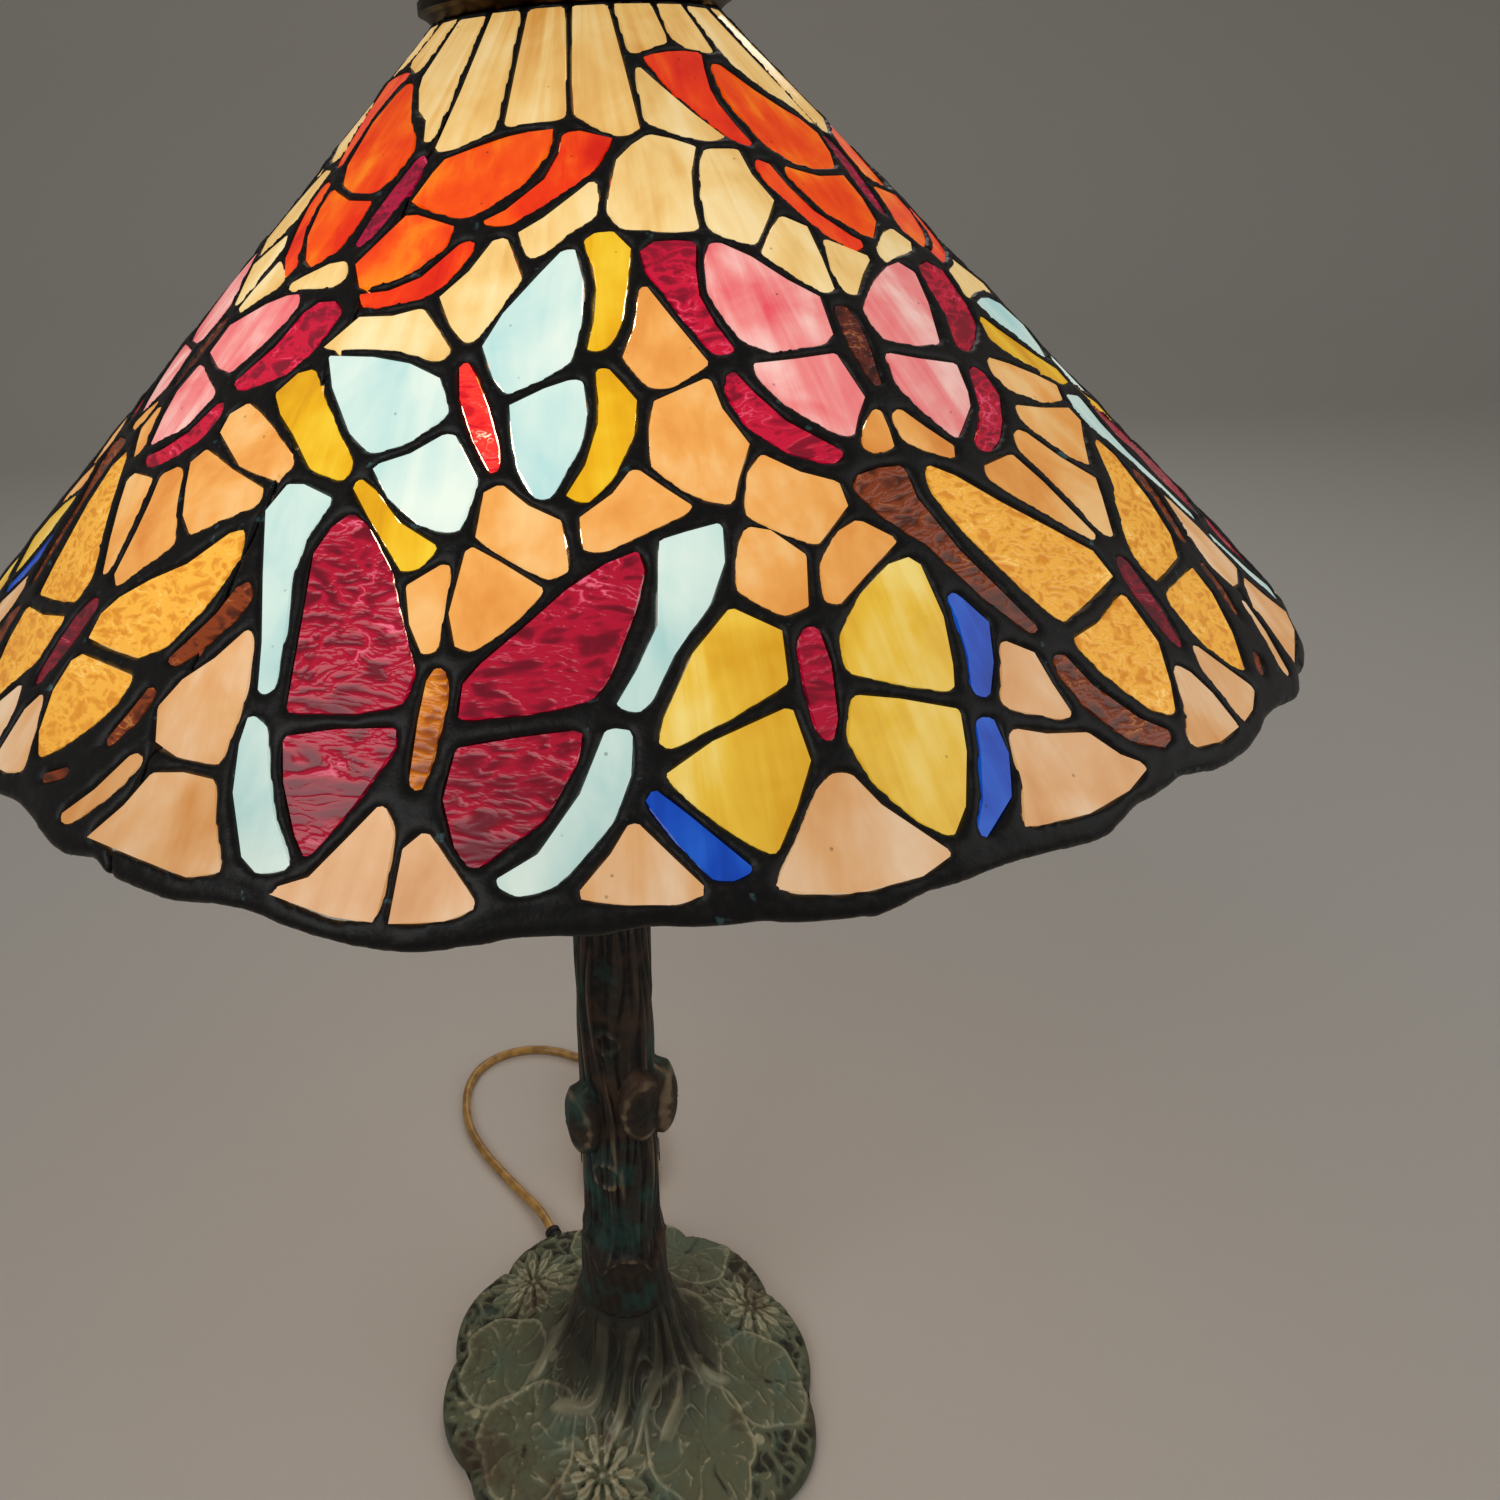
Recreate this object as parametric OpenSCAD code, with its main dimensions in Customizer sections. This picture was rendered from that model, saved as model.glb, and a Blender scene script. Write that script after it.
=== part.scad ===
// Leaded glass table lamp with a butterfly shade on a cast lily-pad base.
// Millimetres, +Z up, origin on the table at the lamp's axis, front of the lamp towards -Y.
// Shade outlines are [angle, slope] pairs: degrees round the axis from the front, and
// millimetres down the slope from the crown on a shade of 456 mm.

/* [Shade] */
// Diameter of the shade's rim
rim_d = 456; // [440:2:470]
// Diameter of the shade's crown opening, at the top of the glass
crown_d = 93; // [92:1:95]
// Height of the rim above the table
rim_z = 441; // [436:1:446]
// Height of the crown above the table
crown_z = 629; // [626:1:632]
// Thickness of the sheet glass
glass_t = 2.6; // [2:0.2:3]
// Thickness of the soldered leading
lead_t = 4.4; // [4:0.2:5]

/* [Stand] */
// Diameter across the scalloped base
base_d = 187; // [180:1:195]
// Thickness of the base's edge
base_edge_h = 9; // [8:0.5:11]
// Height of the joint between the base casting and the trunk casting
trunk_z = 72; // [70:1:76]
// Height of the top of the trunk casting
trunk_top_z = 398; // [390:1:402]
// Diameter of the trunk at its top
trunk_d = 33; // [31:0.5:36]
// Wall thickness of both castings
casting_t = 3.5; // [3:0.25:4]
// Outer diameter of the threaded steel pipe through the stand
pipe_d = 9.6; // [9.4:0.1:9.8]

/* [Light] */
// Height of the two sockets' centre line
socket_z = 497; // [494:1:500]
// Angle of the front socket from the front of the lamp
socket_angle = -17; // [-40:1:40]
// Diameter of the bulbs
bulb_d = 60; // [50:1:60]
// How far the pull chains hang below the sockets
chain_len = 84; // [60:1:90]

/* [Cord] */
// Diameter of the cord
cord_d = 5.5; // [5.4:0.1:5.6]
// Width of the plug
plug_w = 24; // [22:1:26]
// Length of the plug's blades
blade_len = 16; // [15:0.5:18]

/* [Hidden] */
$fn = 64;
gap = 0.3;                  // clearance between pieces that only pass each other
fit = 0.05;                 // clearance of a thread or a turning fit
crown_r = crown_d / 2;
rim_r = rim_d / 2;
slant = sqrt((rim_r - crown_r) ^ 2 + (crown_z - rim_z) ^ 2);
out = (rim_r - crown_r) / slant;         // outward step for each millimetre down the slope
down = (crown_z - rim_z) / slant;        // drop for each millimetre down the slope
slope_angle = asin(down);
drawn_slant = 261.3;                     // the outlines are drawn on a slope of this length
stretch = slant / drawn_slant;
repeats = 4;                             // the pattern repeats four times round the shade
sector = 360 / repeats;
joint_angle = -30;          // where the first quarter of the leading starts, from the front
leading_end = 270;          // slope at which the cone is cut, past the scalloped edge
window_depth = 12;          // depth of the cutters for the glass openings
rim_margin = 20;            // the scalloped cutter's reach below the rim and above the crown

pipe_r = pipe_d / 2;
pipe_hole = 3.4;
base_r = base_d / 2;
felt_t = 1.5;
neck_r = 20;                // base casting's neck, where the trunk stands
cluster_r = 24;
cluster_h = 27;
cluster_z = socket_z - cluster_h / 2;
rod_top_z = crown_z + 32;
seat_z = crown_z + 14;      // top of the check ring that the shade hangs on
socket_start = 27;          // distance from the lamp's axis to the socket's back
bulb_r = bulb_d / 2;

// Cord route from the bushing, over the table, to the hank behind the trunk
CORD = [
    [-40.8, 87.5, 6], [-45, 96.5, 5.7], [-50, 105, 4.8], [-57, 114, 3.5], [-65, 124, 2.8], [-74, 135, 2.8],
    [-83, 147, 2.8], [-91, 160, 2.8], [-97, 174, 2.8], [-100, 189, 2.8], [-100, 205, 2.8], [-95, 220, 2.8],
    [-85, 231, 2.8], [-71, 238, 2.8], [-55, 240, 2.8], [-39, 237, 2.8], [-25, 231, 2.8], [-6, 226, 2.8]
];
exit_dir = 115;             // direction in which the cord leaves the base, from +X
hank_at = [0, 168];
hank_half = 38.5;             // half of the straight length of the hank's runs
hank_r = 23.3;
hank_h = 16.6;
plug_at = [-10, 174, hank_h + 7.5];      // back of the plug's body, which lies on the hank

// ---- Outlines of the glass in one repeat of the pattern ----

CROWN_STRIPS = [
    [[-31,1.5],[-19.5,1.5],[-18,24],[-17.1,49],[-20,51],[-24,54],[-27.5,56],[-29.3,54],[-29.4,33]],
    [[-16.7,1.5],[-3.7,1.5],[-3.2,20],[-2.7,46],[-8,46.5],[-12,47],[-15.4,48],[-16,24]],
    [[-1.1,1.5],[11.4,1.5],[11.7,30],[11.6,51],[8,54],[6,52.5],[1.5,47.5],[-1,45],[-1.4,30]],
    [[13.5,1.5],[27.6,1.5],[27,15],[26.2,18],[22,19.3],[16,22],[13.9,22.5]],
    [[30,1.5],[41.2,1.5],[41,12],[40.3,23],[37.5,22.5],[34,20.5],[30.5,19.3],[28.3,16.5]],
    [[43.2,2],[56.4,2],[57.6,18],[58.9,37],[59.2,52.5],[57,51],[54,42],[50,38.5],[45.2,30],[43.3,25]]
];
UPPER_FIELD = [
    [[14.2,27],[15,26.5],[19,34.5],[24,46],[28.2,56],[25,57],[20,55],[17,52],[13.1,49.5],[13.5,38]],
    [[3.4,80.5],[4.4,71.5],[6,62],[9.3,56.5],[13,52.8],[17,55],[21.2,59],[18.5,68],[17,79],[16.5,88.5],
     [12,87.5],[6,87]],
    [[17.9,88],[18.5,77],[20.5,66],[22.7,59.5],[29.6,60.3],[29.5,70],[30.8,80],[28,86],[24,94.5],[21.5,93]],
    [[24,97.7],[27.5,90],[30.5,85],[34,90],[33.2,101],[32.1,112.3],[30,112.3],[27,105]],
    [[35.6,94.3],[38,97],[42.3,103],[38.5,108],[34.9,114.8],[33.2,113.3],[33.6,106]],
    [[43,104],[46,99.5],[50,95],[53.5,94],[55.4,100.3],[53.8,103],[49,103.3],[45,105]],
    [[-9.5,86],[-6,81],[-1,72.8],[2.6,67.5],[2,81.5],[-1.5,85.5],[-5,92],[-7.3,95.5]],
    [[-18.6,106.5],[-15.5,98],[-13,88],[-11,87],[-8.1,101],[-11,113],[-13.3,122.3],[-16.5,114.5]],
    [[-32.5,124],[-29.3,112.8],[-24.5,112],[-20.5,109.5],[-17.5,117],[-15.3,123.3],[-16,127],[-20,124],
     [-25,122.5],[-29,123]]
];
MIDDLE_FIELD = [
    [[6.8,102.7],[9.5,115],[12.6,131],[8,137],[6,137],[3.5,127],[5.4,117]],
    [[6.1,140.5],[12.2,134.5],[12.6,144],[14.2,155],[12.2,165],[11.3,171.5],[8,167],[5,159],[5.3,148]],
    [[12.1,174],[13.3,162.5],[15,157.8],[18,164],[21.1,168.3],[21,175],[17.2,184],[15,180]],
    [[-1.3,171.7],[1.5,165.5],[3.5,158.3],[6,165],[8.3,171.2],[4,176],[0.6,181],[-1,181]],
    [[-9.6,176.5],[-9.4,164.5],[-8,162],[-5.5,168],[-2.7,172.3],[-2.1,185.5],[-3.6,187.5],[-7,181.5]],
    [[-10.2,178.2],[-7.5,182.5],[-3.8,190],[-6,198],[-8.7,205.3],[-10,204],[-10.8,196],[-10.5,187]],
    [[-14.5,189.5],[-12.8,185.5],[-11.2,182],[-11.3,195],[-11.1,205.5],[-12.2,206.5],[-13.6,199]],
    [[48.3,147],[50.2,142.5],[54,146.5],[58.5,153.5],[61.3,159.8],[59.5,164],[54,161.5],[48.5,153]],
    [[46.6,163.5],[47.8,158.5],[53,162.5],[58.8,167],[58.9,172],[56,176.5],[52.5,183.5],[50,178.5],
     [48.2,171]],
    [[42.7,169.4],[45,165],[46.2,167],[48.5,177],[51.4,187],[50,192],[46.8,203],[45.4,200],[44.6,187],
     [43.8,178]],
    [[36.2,174.5],[37,172],[41.6,171],[43,181],[44.5,200],[43.8,201.5],[41,192],[38.3,182.5]],
    [[24.6,162],[26,155],[28,150],[29,149.7],[28.7,156],[28.2,161.7]],
    [[29.5,160],[30,152],[31.2,150.5],[33,157.5],[34.9,164.5],[34,168.5],[31.5,164]],
    [[16.1,198.3],[16.9,188.5],[19.3,181],[21.4,178.7],[24.1,186],[21,191.5],[17.2,199.5]],
    [[10,192.8],[10.8,183],[11.8,176.7],[13.8,178.5],[16,186],[14.9,198.8],[13,200.3],[11.5,197]]
];
RIM_FIELD = [
    [[25.6,230.8],[27,223.5],[28.3,215.5],[30.4,221],[30.4,229],[30.6,237.8],[29.5,237.4]],
    [[58.6,228],[59.6,220],[61.6,213],[63.6,203.5],[64.6,209],[65.5,221],[65.6,237.5],[62,238],[59.8,236]],
    [[23.3,257],[24.4,249],[25.4,235.5],[28,239.4],[31,242.2],[32.4,249.5],[34,254.3],[31.5,257.3],
     [28,258.6]],
    [[38.1,255.3],[40.3,247],[42.3,236.5],[43.4,241],[44,248],[44.1,258],[41.5,258]],
    [[45,258],[44.9,242],[45.7,236.5],[46.3,236.5],[47.2,242],[49.2,254.5],[47,257.5]],
    [[58.4,239.5],[59.6,240.5],[58.4,250],[55.9,261],[54.6,260.5],[56.6,251]],
    [[60.6,243],[63,241],[65.6,241],[66.7,250],[68.3,260.3],[66,263],[62,262],[58,261.5],[59.6,252]],
    [[-18.9,262.5],[-16.4,258],[-14.5,248],[-12.9,240],[-11.9,247],[-11.9,256],[-12.1,265.5],[-15,265]],
    [[-11.4,265.4],[-11.3,250],[-10.1,245.5],[-8.7,252],[-6.7,260.8],[-8.5,264]],
    [[-1.9,258.8],[0.1,250],[1.4,242.6],[3.5,251.5],[5.2,259],[3,260.7],[1,260.3]],
    [[8.4,259.4],[10.3,249.5],[12,240.5],[13.2,237],[14.2,237.2],[15.5,245.5],[18.6,258.5],[16.5,261.5],
     [13,262.2],[10,260.8]]
];
ORANGE_WINGS = [
    [[-28.9,74],[-27.3,63.5],[-26,58.5],[-21,54.5],[-15,50.9],[-10,49.8],[-5,50.1],[-6,59],[-10,69.5],
     [-15,77],[-18.5,80.3],[-24,77]],
    [[-34.2,95.5],[-31.5,85.5],[-29.2,78.2],[-27,78],[-19.4,83],[-20,90],[-23.5,97.5],[-27,101],
     [-31.5,103.2]],
    [[33.7,42],[35,31],[37,25.8],[40,27],[46,37],[51,45],[54,49.5],[55.8,56],[54.2,64],[51.5,70],
     [45,69],[39.3,66],[36,58.5]],
    [[36.8,67.5],[40,69.3],[45,72],[52,73],[51.8,82],[50.3,91],[46.2,96.5],[43.5,94],[39.5,85.5],[37.3,75]]
];
ORANGE_EDGES = [
    [[-3.4,50.5],[0,50.3],[6,54.6],[2,65.5],[-3,72.3],[-8,78.8],[-11,83],[-16,83],[-12,77.7],[-6.3,67],
     [-4,58]],
    [[-30.8,105.8],[-26.5,104],[-22.3,99.5],[-17.8,88.8],[-15.2,87.2],[-16,94],[-18.5,102.5],[-21,107],
     [-27.5,109.8],[-29.8,108.8]],
    [[17,24],[20,22.5],[25,21.3],[30,21.2],[35.4,22.5],[33.2,29],[31.4,37],[31.3,43],[32.4,52],[34,62],
     [30,57.3],[26.6,49.8],[21,37]],
    [[31.2,68],[31.8,64.2],[34.6,66.5],[35.6,75],[37.6,84.5],[41.7,95],[43.7,98.6],[40.5,99.8],
     [36.7,93.6],[33.3,82],[31.4,74]]
];
ORANGE_BODIES = [
    [[-32.4,57.5],[-31.3,56],[-29.8,59.5],[-30.2,68],[-31.6,75.5],[-33.4,84.5],[-35.1,90],[-36.4,88.5],
     [-36,79],[-34.5,68]]
];
BLUE_WINGS = [
    [[-11.8,122.3],[-10,112],[-6,99.7],[-3,92.2],[-1.3,92],[-0.4,102],[-0.6,114],[-2,128],[-5,132.3],
     [-8.3,136.8],[-10.2,131]],
    [[-8,140],[-4.6,135.2],[-0.7,132],[-0.4,142],[-1.1,152],[-3.8,167],[-5,166],[-6.7,157.5],[-7.6,147]],
    [[-31,126],[-25,125.2],[-20,127],[-15.8,131.8],[-14,142.5],[-17,150],[-21,154.6],[-24.3,148.5],
     [-28.6,135.5]],
    [[-20.5,158],[-17,153.8],[-14,148],[-13,148],[-10.1,161],[-11,176],[-14.5,173.4],[-18,166.5]]
];
BLUE_EDGES = [
    [[-0.2,89.5],[1.5,87],[4.1,86.8],[6.2,93],[5.1,104],[3.9,116],[2.3,123],[-0.4,126.6],[0.7,115.5],
     [1.3,104],[1,96]],
    [[0.6,130],[1.8,129.5],[3.4,135.4],[4.5,140],[3.9,149],[1.8,160.5],[-0.5,167.6],[-2.5,166.3],
     [-0.7,157.5],[0.6,146],[0.8,138]],
    [[-36.2,139],[-34.5,131.8],[-32.2,129.7],[-30.2,136],[-25.3,149.5],[-22.4,157.3],[-22.7,162.6],
     [-27,160],[-31,150.3],[-34,144.8]],
    [[-21.5,161],[-19.3,164.7],[-16.4,172.8],[-12.4,179.3],[-13.7,184.7],[-15,186.4],[-16.8,180],
     [-19.3,172],[-21.6,164.5]]
];
BLUE_BODIES = [
    [[-14,127.8],[-13.1,126.8],[-12.1,130.5],[-10.2,140],[-8.7,151],[-8.2,159],[-9,159.3],[-11.1,150],
     [-13.2,138]]
];
PINK_WINGS = [
    [[14.8,107.7],[15.8,98.5],[17.2,92.2],[19,93],[22.5,98],[26,106.8],[29.2,113.8],[28.2,126],
     [26.5,128.3],[20,129],[17.2,125.5],[15.8,117]],
    [[17,132],[22,131.7],[27.3,131.7],[27.9,146],[26.1,151],[24.5,157],[22.2,153],[19.3,145.5],[17.6,138]],
    [[34.6,119.5],[37,115.3],[40.5,110],[44.5,106.6],[47.5,106],[49.2,110.6],[47,121],[43.4,134.2],
     [39,133.2],[34.5,129.6]],
    [[33.6,133.6],[38,137.2],[43.2,141.6],[41.8,150.5],[40.7,154.7],[37.3,160.5],[35.8,163],
     [33.8,153],[32.7,144.5]]
];
PINK_EDGES = [
    [[7.3,94],[9.5,91],[12.5,91],[15.4,92],[14.2,100.5],[13.6,109.5],[14.5,119],[15.9,128.2],[13.4,128.4],
     [10.6,114],[7.8,101]],
    [[13.4,140],[13.9,134.7],[14.8,133.2],[16.3,140.5],[18.5,149.5],[23,160.8],[21.4,163.3],[17.6,158.7],
     [14.5,150.5]],
    [[50.6,112],[52.4,108.3],[55.4,107.8],[57.8,112],[56,125],[54,132],[50,137],[46.9,139.2],[45.4,137.5],
     [48.9,124]],
    [[37,166.6],[39.6,161.8],[42.4,154.8],[44.6,144.6],[46,143.6],[46.8,147],[46.3,154.5],[43.8,161.5],
     [41.4,166.3],[38.8,169]]
];
PINK_BODIES = [
    [[30.1,119.3],[30.9,116.8],[32.2,117.2],[32.7,123],[32.2,131],[30.9,142],[30.1,147],[29.6,139],
     [29.6,129]]
];
RED_WINGS = [
    [[-9.1,213],[-8,207.8],[-5.5,199.7],[-2.3,189.8],[0.6,183.8],[3.2,181],[3.5,186],[2.5,196],
     [0.6,210.5],[-0.6,216.6],[-4,219],[-9.1,221.3]],
    [[-9,227.6],[-5,224.7],[-1.2,223.2],[-1.7,231],[-3.6,243],[-7.3,253.9],[-8.4,249],[-9.4,239]],
    [[-23.2,183],[-22.4,175.5],[-21,171],[-19.2,174],[-16.1,185.3],[-14,200],[-12.5,211],[-12.9,218.3],
     [-16,221.2],[-21,222.9],[-22,203]],
    [[-20.6,228.6],[-17,225.2],[-13,223.8],[-12.8,228],[-14.7,241.7],[-16.8,254.8],[-17.9,249.7],
     [-19.6,238.8]]
];
RED_EDGES = [
    [[4.9,178.4],[7,176.8],[10.1,175.2],[9.6,185.5],[8,195],[5,206],[3.1,217.3],[2.3,219.9],[0.7,218.6],
     [2.3,210],[4.1,199]],
    [[0.2,222.8],[1.8,223.9],[1.5,233],[0.3,243.6],[-2.9,256.8],[-4.8,258.6],[-6.3,256],[-3.8,249.8],
     [-1.5,237.3]],
    [[-29.9,173],[-28.8,164.8],[-27,164.3],[-23.1,167.8],[-24.5,178],[-24.5,190],[-23.3,203],
     [-22.3,219.2],[-23.6,219.7],[-24.9,207],[-27.3,190]],
    [[-23.7,224],[-22,227],[-21.2,234.3],[-19.7,245.5],[-17.5,256.8],[-19.5,259.2],[-20.8,256.2],
     [-22.8,243],[-23.6,232]]
];
RED_BODIES = [
    [[-11.6,212.5],[-11.1,209],[-10.4,209.5],[-10,216],[-10.4,231],[-11,243],[-11.6,235],[-11.7,222]]
];
YELLOW_WINGS = [
    [[3.1,228.5],[3.8,220.8],[6.1,207],[9.3,196.6],[12.5,203.8],[12,216.2],[8,222.3],[4,228.3]],
    [[3.4,234],[6.5,227.3],[11.8,221.3],[12.1,234],[10.6,243.6],[8.9,253],[7,248],[5,241]],
    [[16.1,216],[16.6,206.5],[19,197.8],[22.3,191.5],[24.2,190.8],[24.9,193.3],[24.7,207],[23.7,218.5],
     [22.9,225],[19,219.7]],
    [[14.7,231],[15.9,220.8],[19,223.6],[22.7,228.9],[21.9,238.3],[20.4,249.6],[18.9,255.5],[17.2,250],
     [15.5,241]]
];
YELLOW_EDGES = [
    [[2.2,239.2],[2.7,236.6],[4.6,243],[7.7,255.3],[6.4,257],[5.4,256.5],[3.7,248]],
    [[25.7,208.3],[25.9,199],[27,203.8],[28.1,211],[26.8,220.4],[25.2,228],[24,226.6],[25.1,217.5]],
    [[23.5,231.3],[24.7,232.6],[24.6,241],[23.5,250],[20.8,257],[20.2,256.4],[21.6,249.2],[22.9,238.4]]
];
YELLOW_BODIES = [
    [[13,218],[13.3,208.3],[14.1,203.2],[15.1,203.7],[15.2,213],[14.5,225.7],[13.6,231.8],[13,228]]
];
GOLD_WINGS = [
    [[29.4,174.5],[30.5,167.8],[33,172.3],[36.3,182.6],[39.8,193.5],[42.5,203.3],[42.6,211.3],[38.5,214],
     [34.4,216.8],[32.8,206.5],[30.3,187.5]],
    [[34.1,221.2],[38,219.8],[42.5,216],[42.3,230.8],[40.6,240.5],[39,247.6],[37,243],[35,231]],
    [[47.2,211],[48.2,205],[50.7,197.7],[54,191],[57.2,180.6],[58.9,178.7],[59.7,186],[58.6,201],
     [56.7,212.5],[54.4,217.8],[50,218],[47.5,218]],
    [[47,225.2],[47.8,222.4],[51,222.2],[55,222.6],[54.6,231],[52.6,241.5],[49.8,250.3],[48.2,244.6],
     [47,234]]
];
GOLD_EDGES = [
    [[22.1,171],[23.1,167.3],[25.5,166.1],[28.2,166.7],[27.8,176],[29.1,192],[30.9,206.5],[32,217],
     [31,216.4],[28.8,205],[26.5,189],[23.8,180]],
    [[31.3,227],[31.8,222.8],[32.8,224],[33.6,232.8],[35.7,244],[37.8,250.8],[36.2,252.4],[33.7,247.4],
     [31.8,236]],
    [[60.7,194.5],[61.8,192],[62.7,197],[61.8,204],[60,211.5],[58.4,217.5],[57.2,216.8],[58.3,211],
     [59.9,202]],
    [[57,223.4],[57.9,224.6],[57.4,233],[55.6,243],[53.3,251.5],[51.4,255.5],[50.8,254],[53.2,248.6],
     [55.2,241],[56.2,231.5]]
];
GOLD_BODIES = [
    [[43.8,214],[44.5,208.3],[45.5,206.8],[46,210],[45.6,224],[44.5,237.8],[43.8,232],[43.6,222]]
];
ALL_GLASS = [
    for (group = [CROWN_STRIPS, UPPER_FIELD, MIDDLE_FIELD, RIM_FIELD, ORANGE_WINGS, ORANGE_EDGES,
                  ORANGE_BODIES, BLUE_WINGS, BLUE_EDGES, BLUE_BODIES, PINK_WINGS, PINK_EDGES, PINK_BODIES,
                  RED_WINGS, RED_EDGES, RED_BODIES, YELLOW_WINGS, YELLOW_EDGES, YELLOW_BODIES,
                  GOLD_WINGS, GOLD_EDGES, GOLD_BODIES])
        for (outline = group) outline
];
// The scalloped lower edge of the shade, over one repeat
RIM_LINE = [
    [-20.5,262.5],[-17,265.8],[-12,268.2],[-8,266.5],[-5,262.8],[-1,262.8],[3,263.5],[6.5,261.2],[9.5,263],
    [14,264.8],[18,262.7],[20.8,259.4],[25,260.6],[29,261.6],[33,259.5],[35.5,255.8],[37,256.2],[40,260],
    [44,261.3],[47,260],[49.5,257.6],[53,262],[56,264.4],[61,264.5],[65,266]
];

// ---- Places on the shade's slope ----

function slope_r(s) = crown_r + s * stretch * out;
function slope_z(s) = crown_z - s * stretch * down;
// Point of a lathe profile: s down the slope from the crown, n out from its middle surface
function slope_point(s, n) = [slope_r(s) + n * down, slope_z(s) + n * out];
function column(points, i) = [for (p = points) p[i]];
function middle(values) = (min(values) + max(values)) / 2;
// An outline laid flat on the plane that touches the shade at the outline's middle
function flattened(outline, a0, s0) = [
    for (p = outline)
        let (r = slope_r(p[1]), turn = p[0] - a0)
        [r * sin(turn), (slope_r(s0) - r * cos(turn)) * out + (slope_z(p[1]) - slope_z(s0)) * down]
];
function sagitta(outline, a0) = max([for (p = outline) slope_r(p[1]) * (1 - cos(p[0] - a0)) * down]);

module on_slope(a, s)
    rotate([0, 0, a]) translate([0, -slope_r(s), slope_z(s)]) rotate([slope_angle, 0, 0]) children();

module pane(outline, t) {
    a0 = middle(column(outline, 0));
    s0 = middle(column(outline, 1));
    on_slope(a0, s0)
        translate([0, 0, -sagitta(outline, a0) / 2 - t / 2])
            linear_extrude(t) polygon(flattened(outline, a0, s0));
}

module panes(outlines)
    for (k = [0:repeats - 1]) rotate([0, 0, k * sector])
        for (outline = outlines) pane(outline, glass_t);

// ---- Shade ----

// One quarter of the leading, from joint_angle round by a quarter turn
module leading(quarter) color([0.1, 0.09, 0.08]) {
    start = joint_angle + quarter * 90;
    difference() {
        intersection() {
            rotate([0, 0, start - 90]) rotate_extrude(angle = 90, $fn = 180)
                polygon([slope_point(0, -lead_t / 2), slope_point(leading_end, -lead_t / 2),
                         slope_point(leading_end, lead_t / 2), slope_point(0, lead_t / 2)]);
            translate([0, 0, rim_z - rim_margin])
                linear_extrude(crown_z - rim_z + 2 * rim_margin)
                    polygon([for (k = [0:repeats - 1]) for (p = RIM_LINE)
                        slope_r(p[1]) * [sin(p[0] + k * sector), -cos(p[0] + k * sector)]]);
        }
        for (k = [-1:repeats]) let (turn = k * sector)
            for (outline = ALL_GLASS)
                if (max(column(outline, 0)) + turn > start && min(column(outline, 0)) + turn < start + 90)
                    rotate([0, 0, turn]) pane(outline, window_depth);
    }
}

module crown_ring() color([0.2, 0.15, 0.1])
    rotate_extrude()
        polygon([slope_point(0, -3.4), slope_point(0, 5), [52.2, crown_z + 4.6], [52.2, crown_z + 8],
                 [50, crown_z + 10.2], [43, crown_z + 10.2], [41.8, crown_z + 9], [41.8, crown_z - 1.6]]);

module shade_cap() color([0.24, 0.18, 0.1])
    difference() {
        rotate_extrude()
            polygon([[51, crown_z + 10.2], [51, crown_z + 12.4], [47, crown_z + 13], [36, crown_z + 15.2],
                     [22, crown_z + 17.2], [13, crown_z + 17.8], [pipe_r + 0.7, crown_z + 17.8],
                     [pipe_r + 0.7, crown_z + 15.6], [13, crown_z + 15.6], [22, crown_z + 15],
                     [36, crown_z + 13], [45, crown_z + 10.6], [47, crown_z + 10.2]]);
        for (a = [0:30:330]) rotate([0, 0, a])
            translate([29, 0, crown_z]) cylinder(r = 2.6, h = 30);
    }

// Glass, one module for each colour of sheet in the pattern
module glass_crown_strips() color([0.95, 0.72, 0.36]) panes(CROWN_STRIPS);
module glass_upper_field() color([0.96, 0.78, 0.46]) panes(UPPER_FIELD);
module glass_middle_field() color([0.95, 0.7, 0.42]) panes(MIDDLE_FIELD);
module glass_rim_field() color([0.9, 0.68, 0.5]) panes(RIM_FIELD);
module glass_orange_wings() color([0.98, 0.36, 0.05]) panes(ORANGE_WINGS);
module glass_orange_edges() color([0.95, 0.26, 0.04]) panes(ORANGE_EDGES);
module glass_orange_bodies() color([0.65, 0.02, 0.12]) panes(ORANGE_BODIES);
module glass_blue_wings() color([0.8, 0.92, 0.9]) panes(BLUE_WINGS);
module glass_blue_edges() color([0.93, 0.72, 0.2]) panes(BLUE_EDGES);
module glass_blue_bodies() color([0.85, 0.15, 0.15]) panes(BLUE_BODIES);
module glass_pink_wings() color([0.96, 0.55, 0.53]) panes(PINK_WINGS);
module glass_pink_edges() color([0.72, 0.02, 0.12]) panes(PINK_EDGES);
module glass_pink_bodies() color([0.3, 0.1, 0.06]) panes(PINK_BODIES);
module glass_red_wings() color([0.72, 0.02, 0.14]) panes(RED_WINGS);
module glass_red_edges() color([0.76, 0.87, 0.84]) panes(RED_EDGES);
module glass_red_bodies() color([0.7, 0.36, 0.06]) panes(RED_BODIES);
module glass_yellow_wings() color([0.93, 0.74, 0.22]) panes(YELLOW_WINGS);
module glass_yellow_edges() color([0.03, 0.22, 0.66]) panes(YELLOW_EDGES);
module glass_yellow_bodies() color([0.62, 0.04, 0.14]) panes(YELLOW_BODIES);
module glass_gold_wings() color([0.86, 0.66, 0.28]) panes(GOLD_WINGS);
module glass_gold_edges() color([0.3, 0.12, 0.05]) panes(GOLD_EDGES);
module glass_gold_bodies() color([0.35, 0.04, 0.12]) panes(GOLD_BODIES);

// ---- Stand ----

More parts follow.
